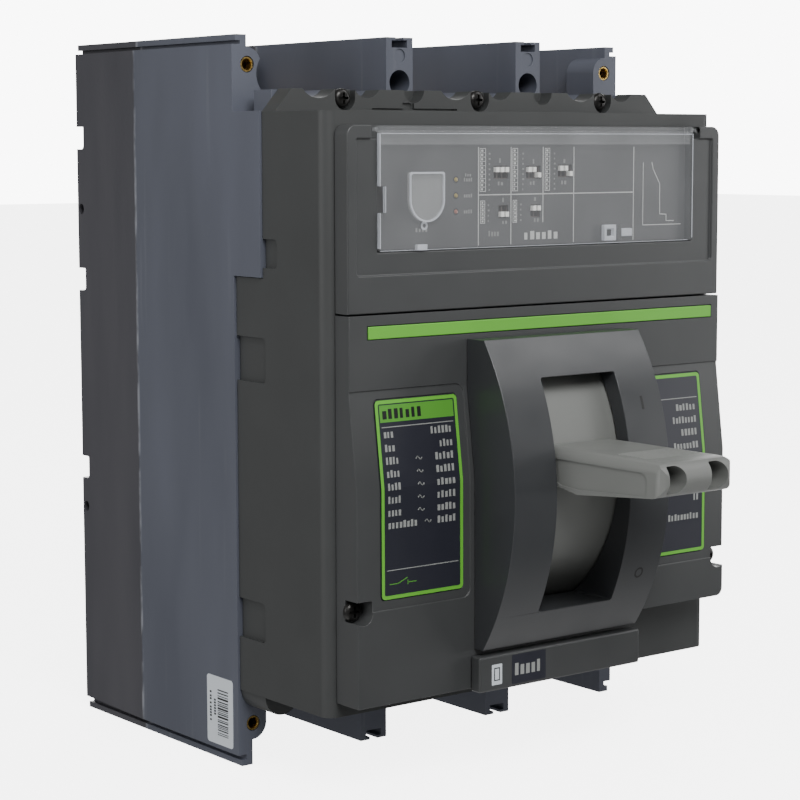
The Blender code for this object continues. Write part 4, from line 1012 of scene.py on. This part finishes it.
def panel_marks(rng):
    """The small marks beside the scales, the switch banks and the lamps."""
    marks = []
    for x in (-26.4, -8.6, 8.5):
        marks += mark_column(rng, x, 232.6, 2.05, 8)
    for x in (-26.8, -9.7):
        marks += mark_column(rng, x, 220.2, 2.1, 4)
    for x, foot in ((-20.9, 243.7), (-3.0, 243.2), (13.7, 243.5), (-19.2, 227.9), (-2.2, 228.2)):
        marks += block_word(rng, x, foot, 1.4, 1.8, 1.4)
    for x, foot in ((-21.6, 234.7), (-4.5, 234.7), (12.6, 234.7), (-19.2, 219.2), (-2.2, 219.6)):
        marks += block_word(rng, x, foot, 3.2, 1.5, 1.6)
    for height in LAMP_HEIGHTS:
        marks += block_word(rng, -39.2, height - 0.8, 4.6, 1.5, 1.1)
    marks += block_word(rng, -38.6, 238.4, 3.4, 1.2, 1.1)
    marks += block_word(rng, -26.4, 214.4, 5.9, 2.2, 1.5)
    marks += block_word(rng, -63.6, 217.0, 6.4, 1.6, 1.6)
    return marks


def trip_curve():
    """The generic time-current curve and its axes."""
    lines = ribbon([(59.1, 243.2), (59.1, 217.0), (81.5, 217.0)], 0.16)
    curve = [(64.2, 243.3), (65.0, 240.5), (68.9, 234.3), (69.1, 221.5), (72.9, 221.3), (72.9, 218.6)]
    return lines + ribbon(curve + [(77.3, 218.5)], 0.18)


def make_settings_panel():
    """The printed panel under the window: film, scales, marks, lamps and the trip curve."""
    outline = rounded((-84.1, 83.8), PANEL_Z, (1, 1, 1, 1))
    film = Prism("Y", outline, (PANEL_FRONT, PANEL_BACK))
    panel = solid("settings_film", MATERIALS["panel_film"], film)
    through = (PANEL_FRONT - PAST, PANEL_BACK + PAST)
    for x, z, count in BANKS:
        cut(panel, box(around(x, SWITCH_PITCH * count / 2), through, around(z, 2.6)))
    stands_for(panel, "panel_film", "settings_panel")
    rng = random.Random(11)
    prints = (
        ("panel_scales", PANEL_INK, panel_outlines(rng)),
        ("panel_marks", FAINT_INK, panel_marks(rng)),
        ("panel_trip_curve", PANEL_INK, trip_curve()),
        ("panel_rating", PANEL_INK, block_word(rng, -7.4, 212.6, 19.2, 3.4, 3.0)),
        ("lamp_sockets", BLACK_INK, [circle((LAMP_X, z), 1.35, 24) for z in LAMP_HEIGHTS]),
    )
    for name, ink_used, outlines in prints:
        print_on(name, ink_used, outlines, level(PANEL_FRONT), slot="panel_film")
    make_lamps()


def make_lamps():
    """The three domed lamps at the left of the panel."""
    dome = [(0, -0.65), (0.6, -0.5), (0.95, 0.0), (0, 0.0)]
    profile = [(radius, PANEL_FRONT + y) for radius, y in dome]
    names = ("steady", "warning", "overload")
    for name, z, material in zip(names, LAMP_HEIGHTS, (LAMP_AMBER, LAMP_AMBER, LAMP_RED)):
        lens = lathe(f"{name}_lamp", material, (LAMP_X, z), profile, 24)
        shade(lens)
        stands_for(lens, "panel_film")


def socket_outline(inset):
    """The shield-shaped cover over the test socket, seen from the front."""
    left, right = -68.2 + inset, -50.8 - inset
    half = (right - left) / 2
    top = 240.4 - inset
    points = arc(((left + right) / 2, 229.6), half, 180, 360, 24)
    points += arc((right - 1.0, top - 1.0), 1.0, 0, 90, 4)
    return points + arc((left + 1.0, top - 1.0), 1.0, 90, 180, 4)


def make_socket_cover():
    """A clear cap over the test socket, with a thick rim in brighter plastic as a painted highlight,
    and a small sealing loop.
    """
    front = PANEL_FRONT - GAP - 2.2
    back = PANEL_FRONT - GAP
    cap = solid("socket_cap", CLOUDY, Prism("Y", socket_outline(0.0), (front + 0.7, back)))
    finish(cap, 0.3, "clear_plastic", "test_socket_cover")
    # The rim is a raised band in brighter plastic; its brightness is a painted highlight on the cap's
    # edge.
    rim = Sheet(band(socket_outline(0.0), socket_outline(0.7)), level(front), level(front + 0.69))
    rim_highlight = solid("socket_cap_rim", CLEAR_AND_HIGHLIGHT, rim)
    shade(rim_highlight)
    stands_for(rim_highlight, "clear_plastic")
    loop = band(circle((-59.5, 219.4), 1.7, 32), circle((-59.5, 219.4), 0.8, 32))
    print_on("socket_cap_loop", CLEAR_AND_HIGHLIGHT, loop, level(back), slot="clear_plastic")


def make_sealing_lug():
    """The lug that the window is sealed with: a drilled block with painted shade in its hole, a grey
    bridge and a clear pin.
    """
    front, back = PANEL_FRONT - GAP - 2.2, PANEL_FRONT - GAP
    z = (211.0, 217.7)
    lug = solid("lug_block", CLEAR_AND_HIGHLIGHT, box((34.9, 41.6), (front, back), z))
    cut(lug, box((36.2, 40.2), (front - PAST, back - 0.8), (212.7, 216.0)))
    finish(lug, 0.3, "panel_film", "sealing_lug")
    bridge = solid("lug_bridge", MATERIALS["fascia_plastic"], box((41.9, 44.6), (front, back), z))
    finish(bridge, 0.3, "panel_film")
    pin = solid("lug_pin", CLEAR_AND_HIGHLIGHT, box((44.9, 51.2), (front + 0.4, back), (212.6, 216.0)))
    finish(pin, 0.4, "clear_plastic")
    # The hole's floor is printed black: painted shade inside the hole.
    hole = rounded((36.6, 39.8), (213.0, 215.7), (0.4,) * 4)
    print_on("lug_hole_shade", BLACK_INK, [hole], level(back - 0.8), slot="panel_film")


def make_window():
    """The clear cover, its hinge roll, its frosted upper band and the painted highlights on its
    edges.
    """
    front = HINGE[0] - HINGE_RADIUS
    plate = rounded(WINDOW_X, WINDOW_Z, (1.2, 1.2, 0, 0))
    clear = MATERIALS["clear_plastic"]
    window = solid("window_plate", clear, Prism("Y", plate, (front, front + WINDOW_THICKNESS)))
    cut(window, box((-90.0, NOTCH_X), (front - PAST, front + PAST), NOTCH_Z))
    finish(window, 0.25, "clear_plastic", "clear_window", body="clear_window")
    roll = solid("window_hinge_roll", clear, cylinder("X", HINGE, HINGE_RADIUS, WINDOW_X, 32))
    shade(roll)
    stands_for(roll, "clear_plastic", body="clear_window")
    pins = [cylinder("X", HINGE, 0.8, x, 16) for x in ((-86.8, -84.6), (84.3, 86.5))]
    hinge_pins = solid("window_hinge_pins", clear, *pins)
    stands_for(hinge_pins, "clear_plastic", body="clear_window")
    top = [rounded(grown(WINDOW_X, -0.4), FROSTED_Z)]
    back = front + WINDOW_THICKNESS
    band_sheet = solid("window_frosted_band", FROSTED, Sheet(top, level(back), level(back + 0.1)))
    stands_for(band_sheet, "clear_plastic", body="clear_window")
    make_window_highlights(front)


def make_window_highlights(front):
    """Bright strips along the window's edges and a small bright patch at its foot: painted highlights
    where the edges catch the light.
    """
    low, high = WINDOW_Z
    left, right = WINDOW_X
    depth = (front - 0.1, front + 1.6)
    # Painted highlights: thin bright strips on the edges that catch the light.
    highlight_boxes = [
        box((left - 0.1, left + 0.4), depth, (NOTCH_Z[1] + 0.1, high - 1.0)),
        box((left - 0.1, left + 0.4), depth, (low + 1.0, NOTCH_Z[0] - 0.1)),
        box((NOTCH_X, NOTCH_X + 0.4), depth, NOTCH_Z),
        box((right - 0.2, right + 0.1), (front - 0.1, front + 0.3), (low + 1.0, high - 1.0)),
        box((left + 0.8, right - 0.6), (front - 0.1, front + 0.3), (255.1, 255.4)),
        box((left + 1.2, right - 1.2), (front + 1.3, front + 1.6), (low - 0.1, low + 0.15)),
        box((-66.2, -61.3), depth, (low - 0.1, low + 2.2)),
    ]
    edges = solid("window_rims", CLEAR_AND_HIGHLIGHT, *highlight_boxes)
    finish(edges, 0.12, "clear_plastic", body="clear_window")


# ---- Lower cover ----


def fascia_y(z):
    """The front face of the lower cover: upright at the top, sloping forward, then nearly upright."""
    (knee_low, y_low), (knee_high, y_high) = FASCIA_KNEES
    if z >= knee_high:
        return y_high
    if z >= knee_low:
        return y_low + (y_high - y_low) * (z - knee_low) / (knee_high - knee_low)
    return FASCIA_LOW_Y + (y_low - FASCIA_LOW_Y) * (z - LOWER_Z[0]) / (knee_low - LOWER_Z[0])


def behind_fascia(amount):
    return lambda z: fascia_y(z) + amount


def fascia_profile(low, high, offset):
    heights = [low] + [z for z, _ in FASCIA_KNEES if low < z < high] + [high]
    return [(fascia_y(z) + offset, z) for z in heights]


def fascia_pocket(outline, depth):
    """A cutter that sinks an outline into the lower cover's front by this depth."""
    return Sheet([outline], behind_fascia(-PAST), behind_fascia(depth))


def screw_pocket(centre):
    """The pocket around a front screw: square above and round below."""
    x, z = centre
    outline = rounded(around(x, 4.6), around(z, 4.6), (4.4, 4.4, 0.8, 0.8))
    return Prism("Y", outline, (IN_FRONT, FRONT_SCREW_SEAT + GAP))


def corner_cutter(radius):
    """Rounds the corner of the lower cover beside its cut-away."""
    x, z = COVER_HALF - radius, CUTAWAY_TOP + radius
    outside = [(x, z - radius - 1.0), (COVER_HALF + 1.0, z - radius - 1.0), (COVER_HALF + 1.0, z)]
    return Prism("Y", outside + arc((x, z), radius, 0, -90, 8), (IN_FRONT, COVER_BACK + PAST))


def make_lower_cover():
    """The lower cover, with the handle's opening and recesses for the labels and the stripe."""
    low, high = LOWER_Z
    outline = fascia_profile(low, high, 0.0) + [(COVER_BACK, high), (COVER_BACK, low)]
    block = Prism("X", outline, (-COVER_HALF, COVER_HALF))
    cover = solid("lower_cover_shell", MATERIALS["fascia_plastic"], block)
    floor, roof, back = 57.0, high - 3.0, COVER_BACK + PAST
    hollow = fascia_profile(floor, roof, 3.0) + [(back, roof), (back, floor)]
    cut(cover, Prism("X", hollow, (-88.0, 88.0)))
    through = (IN_FRONT, COVER_BACK + PAST)
    cut(cover, box((-30.0, 30.0), through, (56.0, 172.3)))
    cut(cover, box((TAB_HALF, COVER_HALF + PAST), through, (low - PAST, CUTAWAY_TOP)))
    cut(cover, corner_cutter(3.5))
    for x in both_sides(43.8, COVER_HALF + PAST):
        radii = (4, 0, 0, 4) if x[0] > 0 else (0, 4, 4, 0)
        cut(cover, fascia_pocket(rounded(x, (71.5, 157.0), radii), 0.45))
    for x in both_sides(*LABEL_X):
        cut(cover, fascia_pocket(rounded(x, LABEL_Z, (2.0,) * 4), LABEL_RECESS + 0.05))
    cut(cover, box(STRIPE_X, (IN_FRONT, UPPER_FRONT), grown(STRIPE_Z, GAP)))
    cut(cover, *[screw_pocket(centre) for centre in FRONT_SCREWS])
    for hole in screw_holes((-210.0, COVER_BACK + PAST)):
        cut(cover, hole)
    finish(cover, 0.6, "fascia_plastic", "front_cover")


def make_stripe():
    x = grown(STRIPE_X, -GAP)
    bar = box(x, (-199.6, UPPER_FRONT - GAP), STRIPE_Z)
    stripe = solid("green_stripe_inlay", MATERIALS["green_inlay"], bar)
    finish(stripe, 0.25, "green_inlay", "green_stripe")


def wave(x, z):
    """A small alternating-current wave."""
    points = [(x + 0.35 * step, z + 0.55 * math.sin(2 * math.pi * step / 8)) for step in range(9)]
    return ribbon(points, 0.22)


def left_label_marks(rng, left, right):
    """The table on the left label, with plain blocks for its words."""
    lines = [rounded((left + 2.6, right - 2.6), around(z, 0.17)) for z in (142.5, 86.9)]
    rows = (139.8, 134.5, 129.6, 124.6, 119.6, 114.5, 109.5, 104.6)
    words = ((5.0, 11.0), (5.3, 7.0), *[(6.7, 9.7)] * 5, (14.7, 9.7))
    for row, (middle, (first, second)) in enumerate(zip(rows, words)):
        foot = middle - 1.4
        lines += block_word(rng, left + 3.4, foot, first, 2.8)
        lines += block_word(rng, right - 3.3 - second, foot, second, 2.8)
        if row > 1:
            lines += wave(left + (21.6 if row == 7 else 18.2), middle)
    return lines


def right_label_marks(rng, left, right):
    """The few rows on the right label, set against its right edge."""
    lines = [rounded((left + 2.6, right - 2.6), around(z, 0.17)) for z in (142.5, 104.6)]
    rows = ((138.6, 12.0), (133.2, 14.5), (127.8, 10.0), (122.2, 15.0), (99.4, 3.4), (91.4, 18.5))
    for middle, length in rows:
        lines += block_word(rng, right - 3.4 - length, middle - 1.4, length, 2.8)
    return lines


def switch_symbol(left, z):
    """The standard drawing of a breaker's contact: a line, an open blade and a small cross."""
    lines = (
        [(left, z), (left + 4.0, z), (left + 8.6, z + 1.9)],
        [(left + 8.8, z), (left + 13.0, z)],
        [(left + 8.8, z - 0.7), (left + 8.8, z + 0.7)],
    )
    return [quad for points in lines for quad in ribbon(points, 0.16)]


def make_label_plate(hand, x):
    """A label's film and its green border."""
    z = grown(LABEL_Z, -0.4)
    surface = behind_fascia(LABEL_FRONT)
    film = Sheet([rounded(x, z, (1.8,) * 4)], surface, behind_fascia(LABEL_FRONT + LABEL_FILM))
    plate = solid(f"label_film_{hand}", MATERIALS["label_film"], film)
    stands_for(plate, "label_film", f"label_plate_{hand}")
    inner = rounded(grown(x, -1.5), grown(z, -1.5), (0.8,) * 4)
    border = band(rounded(grown(x, -0.1), grown(z, -0.1), (1.7,) * 4), inner)
    print_on(f"label_border_{hand}", MATERIALS["green_inlay"], border, surface)


def make_labels():
    """The two printed plates, each in its recess."""
    rng = random.Random(23)
    surface = behind_fascia(LABEL_FRONT)
    right_x, left_x = [grown(x, -0.4) for x in both_sides(*LABEL_X)]

    make_label_plate("right", right_x)
    mark = [rounded((right_x[0] + 4.0, right_x[0] + 15.5), (145.5, 150.2), (2.3,) * 4)]
    print_on("label_mark", GREEN_INK, mark, surface)
    print_on("label_rows", WHITE_INK, right_label_marks(rng, *right_x), surface)

    make_label_plate("left", left_x)
    left, right = left_x
    header = [rounded((left + 2.1, right - 2.1), (144.4, 151.0))]
    print_on("label_header", GREEN_INK, header, surface)
    word = block_word(rng, left + 3.4, 145.6, 20.0, 3.9, 3.0)
    print_on("label_header_word", BLACK_INK, word, behind_fascia(LABEL_FRONT - INK))
    print_on("label_table", WHITE_INK, left_label_marks(rng, left, right), surface)
    print_on("label_symbol", GREEN_INK, switch_symbol(left + 4.0, 81.4), surface)


def make_tab():
    """The tab under the shroud, with a small symbol plate and a dark rating plate."""
    block = box((-TAB_HALF, TAB_HALF), (TAB_FRONT, fascia_y(TAB_Z[1]) - GAP), TAB_Z)
    tab = solid("tab_moulding", MATERIALS["fascia_plastic"], block)
    round_edges(tab, 0.9, 3)
    stands_for(tab, "fascia_plastic", "rating_tab")
    surface = level(TAB_FRONT)
    print_on("tab_symbol", PAPER, [rounded((-37.8, -32.4), (35.4, 43.8), (0.4,) * 4)], surface)
    raised = level(TAB_FRONT - INK)
    print_on("tab_symbol_line", BLACK_INK, frame_lines((-36.4, -33.8), (37.3, 42.2), 0.22), raised)
    plate = rounded((-27.2, -9.0), (34.4, 46.4), (0.6,) * 4)
    print_on("tab_plate", MATERIALS["label_film"], [plate], surface)
    words = block_word(random.Random(5), -25.6, 37.8, 14.8, 5.0, 3.0)
    print_on("tab_plate_word", WHITE_INK, words, raised)


# ---- Shroud and handle ----


def shroud_profile(radius, low, high, offset):
    """Side view of the shroud: an arc in front and the lower cover's slope behind."""
    centre_z = SHROUD_CENTRE[1]
    top = math.degrees(math.asin((high - centre_z) / radius))
    bottom = math.degrees(math.asin((low - centre_z) / radius))
    front = arc(SHROUD_CENTRE, radius, 180 - top, 180 - bottom, 48)
    return front + fascia_profile(low, high, offset)


def slot_collar():
    """A block behind the slot, down to the moving shield, that leaves the slot's own walls."""
    low, high = grown(SLOT_Z, COLLAR_WALL)
    inner = SHIELD_RADIUS + COLLAR_GAP
    heights = [low + (high - low) * step / 24 for step in range(25)]
    front = [(shroud_y(z) + SHROUD_WALL / 2, z) for z in heights]
    back = [(PIVOT[0] - math.sqrt(inner**2 - (z - PIVOT[1]) ** 2), z) for z in reversed(heights)]
    return Prism("X", front + back, grown((-SLOT_HALF, SLOT_HALF), COLLAR_WALL))


def make_shroud():
    """The curved hood around the handle, with the slot that the handle moves in."""
    low, high = SHROUD_Z
    block = Prism("X", shroud_profile(SHROUD_RADIUS, low, high, -GAP), (-SHROUD_HALF, SHROUD_HALF))
    shroud = solid("shroud_hood", MATERIALS["shroud_plastic"], block)
    half = SHROUD_HALF - SHROUD_WALL
    hollow = shroud_profile(SHROUD_RADIUS - SHROUD_WALL, low + SHROUD_WALL, high - SHROUD_WALL, PAST)
    cut(shroud, Prism("X", hollow, (-half, half)))
    fuse(shroud, slot_collar())
    slot = rounded((-SLOT_HALF, SLOT_HALF), SLOT_Z, (1.0,) * 4)
    cut(shroud, Prism("Y", slot, (IN_FRONT, PIVOT[0])))
    round_edges(shroud, 1.0, 3)
    stands_for(shroud, "shroud_plastic", "handle_shroud")
    make_position_marks()


def shroud_y(z):
    """The shroud's front face at a height."""
    return SHROUD_CENTRE[0] - math.sqrt(SHROUD_RADIUS**2 - (z - SHROUD_CENTRE[1]) ** 2)


def make_position_marks():
    """The generic on and off marks: a bar above and a ring below."""
    heights = [143.3 + 0.9 * step for step in range(6)]
    bar = [rounded(around(31.0, 0.6), (z, z + 0.9)) for z in heights]
    ring = band(circle((31.3, 75.0), 2.3, 32), circle((31.3, 75.0), 1.6, 32))
    print_on("position_bar", BLACK_INK, bar, shroud_y, slot="shroud_plastic")
    print_on("position_ring", BLACK_INK, ring, shroud_y, slot="shroud_plastic")


def make_shield():
    """The curved dust shield that fills the slot at every handle position."""
    start, end = SHIELD_SPAN
    outer = arc(PIVOT, SHIELD_RADIUS, start, end, 72)
    inner = arc(PIVOT, SHIELD_RADIUS - SHIELD_THICKNESS, end, start, 72)
    plate = Prism("X", outer + inner, (-SHIELD_HALF, SHIELD_HALF))
    shield = solid("shield_plate", MATERIALS["handle_plastic"], plate)
    finish(shield, 0.3, "handle_plastic", "handle_shield", body="handle")


def grip_profile():
    """Side view of the grip, from its root over the round tip to the throat below."""
    tip = arc(GRIP_TIP, GRIP_TIP_RADIUS, 90, 262, 24)
    return [(GRIP_ROOT_Y, GRIP_TOP), *tip, (-240.0, 114.6), (-229.0, 116.5), (GRIP_ROOT_Y, 116.6)]


def grip_plan():
    """The grip from above, with round corners at its tip."""
    front = GRIP_TIP[0] - GRIP_TIP_RADIUS - 0.01
    return rounded((-GRIP_HALF, GRIP_HALF), (front, GRIP_ROOT_Y), (4.5, 4.5, 0.4, 0.4), 12)


def side_panels():
    """The shallow panel sunk into each side of the grip, with a round front end."""
    outline = [(-226.5, 127.6), (-226.5, 118.6), (-231.0, 117.2), (-240.0, 116.6)]
    outline += arc((-276.0, 120.8), 2.6, 270, 180, 6) + arc((-275.5, 124.4), 3.1, 180, 90, 6)
    return [Prism("X", outline, x) for x in both_sides(GRIP_HALF - 0.5, GRIP_HALF + PAST)]


def grip_block():
    """The grip cut from its side view, its plan and its section, with moulded radii."""
    block = Prism("X", grip_profile(), (-GRIP_HALF, GRIP_HALF))
    grip = solid("handle_grip", MATERIALS["handle_plastic"], block)
    trim_to(grip, Prism("Z", grip_plan(), GRIP_REACH_Z))
    section = rounded((-GRIP_HALF, GRIP_HALF), (GRIP_REACH_Z[0], GRIP_TOP), (0, 0, 4.0, 4.0), 10)
    trim_to(grip, Prism("Y", section, (IN_FRONT, PIVOT[0])))
    modifier = grip.modifiers.new("moulded_radius", "BEVEL")
    modifier.width = 1.9 * MM
    modifier.segments = 4
    modifier.limit_method = "ANGLE"
    modifier.angle_limit = math.radians(35)
    settle(grip)
    return grip


def make_grip():
    """The part of the handle that a hand holds, with two holes for an extension in its end."""
    grip = grip_block()
    cut(grip, *side_panels())
    half_width, half_height = GRIP_HOLE_HALF
    for side in (-1, 1):
        x = around(side * GRIP_HOLE_X, half_width)
        hole = rounded(x, around(GRIP_TIP[1], half_height), (0.8, 4.6, 4.6, 0.8), 10)
        cut(grip, Prism("Y", hole, (GRIP_TIP[0] - 3 * PAST, GRIP_HOLE_FLOOR)))
    round_edges(grip, 0.25, 2, 40)
    stands_for(grip, "handle_plastic", "toggle_handle", body="handle")


def make_grip_ribs():
    """The low ribs across the grip's top, near its tip."""
    z = (GRIP_TOP - 0.2, GRIP_TOP + 0.22)
    ribs = [box((-14.0, 14.0), around(-257.0 - RIB_PITCH * number, 0.35), z) for number in range(8)]
    ridges = solid("grip_ribs", MATERIALS["handle_plastic"], *ribs)
    finish(ridges, 0.18, "handle_plastic", body="handle")


# ---- Camera, lights and floor ----


def add_camera():
    """A camera at the angle, the distance and the focal length of the view that was matched."""
    data = bpy.data.cameras.new("photo_camera")
    data.lens, data.sensor_width = CAMERA_LENS
    camera = bpy.data.objects.new("photo_camera", data)
    bpy.context.scene.collection.objects.link(camera)
    place = Matrix.Translation(CAMERA_PLACE)
    turn = Matrix.Rotation(math.radians(CAMERA_TURN), 4, "Z")
    tilt = Matrix.Rotation(math.radians(90 - CAMERA_DOWN), 4, "X")
    roll = Matrix.Rotation(math.radians(CAMERA_ROLL), 4, "Z")
    camera.matrix_world = place @ turn @ tilt @ roll
    bpy.context.scene.camera = camera


def add_light(name, place, target, size, power):
    data = bpy.data.lights.new(name, "AREA")
    data.shape = "RECTANGLE"
    data.size, data.size_y = size
    data.energy = power
    light = bpy.data.objects.new(name, data)
    light.location = place
    light.rotation_euler = (Vector(target) - Vector(place)).to_track_quat("-Z", "Y").to_euler()
    bpy.context.scene.collection.objects.link(light)


def add_world():
    """A white backdrop all around, and a dimmer room that lights the object."""
    world = bpy.data.worlds.new("pale_room")
    world.use_nodes = True
    tree = world.node_tree
    way = add_node(tree, "TexCoord", {}).outputs["Generated"]
    parts = add_node(tree, "SeparateXYZ", {"Vector": way})
    ahead = add_node(tree, "VectorMath", {0: way, 1: BACKDROP_AHEAD}, operation="DOT_PRODUCT")
    glow = remap(tree, ahead.outputs["Value"], ROOM_DIM, BACKDROP, *BACKDROP_FADE)
    for axis, strength, start, full in ROOM_SIDES:
        share = remap(tree, parts.outputs[axis], 0.0, strength, start, full)
        glow = calculated(tree, "ADD", glow, share)
    camera_ray = add_node(tree, "LightPath", {}).outputs["Is Camera Ray"]
    seen = add_node(tree, "Mix", {"Factor": camera_ray, "A": glow, "B": BACKDROP})
    background = tree.nodes["Background"]
    background.inputs["Color"].default_value = WHITE
    tree.links.new(seen.outputs["Result"], background.inputs["Strength"])
    bpy.context.scene.world = world


def add_floor():
    material, tree, shader = new_material("studio_floor", (0.85, 0.85, 0.85), 0.9)
    vary(tree, shader, noise_at(tree, 3.0, 3.0), 0.9, 0.05, 0.05)
    shader.inputs["Emission Color"].default_value = WHITE
    shader.inputs["Emission Strength"].default_value = FLOOR_GLOW
    bm = bmesh.new()
    bmesh.ops.create_grid(bm, x_segments=1, y_segments=1, size=8.0)
    floor = link("studio_floor", mesh_of("studio_floor", bm), material)
    floor.location.z = CAD_BOUNDS[0][2]
    floor.visible_diffuse = False
    floor.visible_glossy = False


dress_nodes()
make_base()
make_inserts()
make_sticker()
make_housing()
make_screws()
make_upper_cover()
make_settings_panel()
make_socket_cover()
make_sealing_lug()
make_window()
make_lower_cover()
make_stripe()
make_labels()
make_tab()
make_shroud()
make_shield()
make_grip()
make_grip_ribs()
add_camera()
add_world()
for softbox in SOFTBOXES:
    add_light(*softbox)
add_floor()
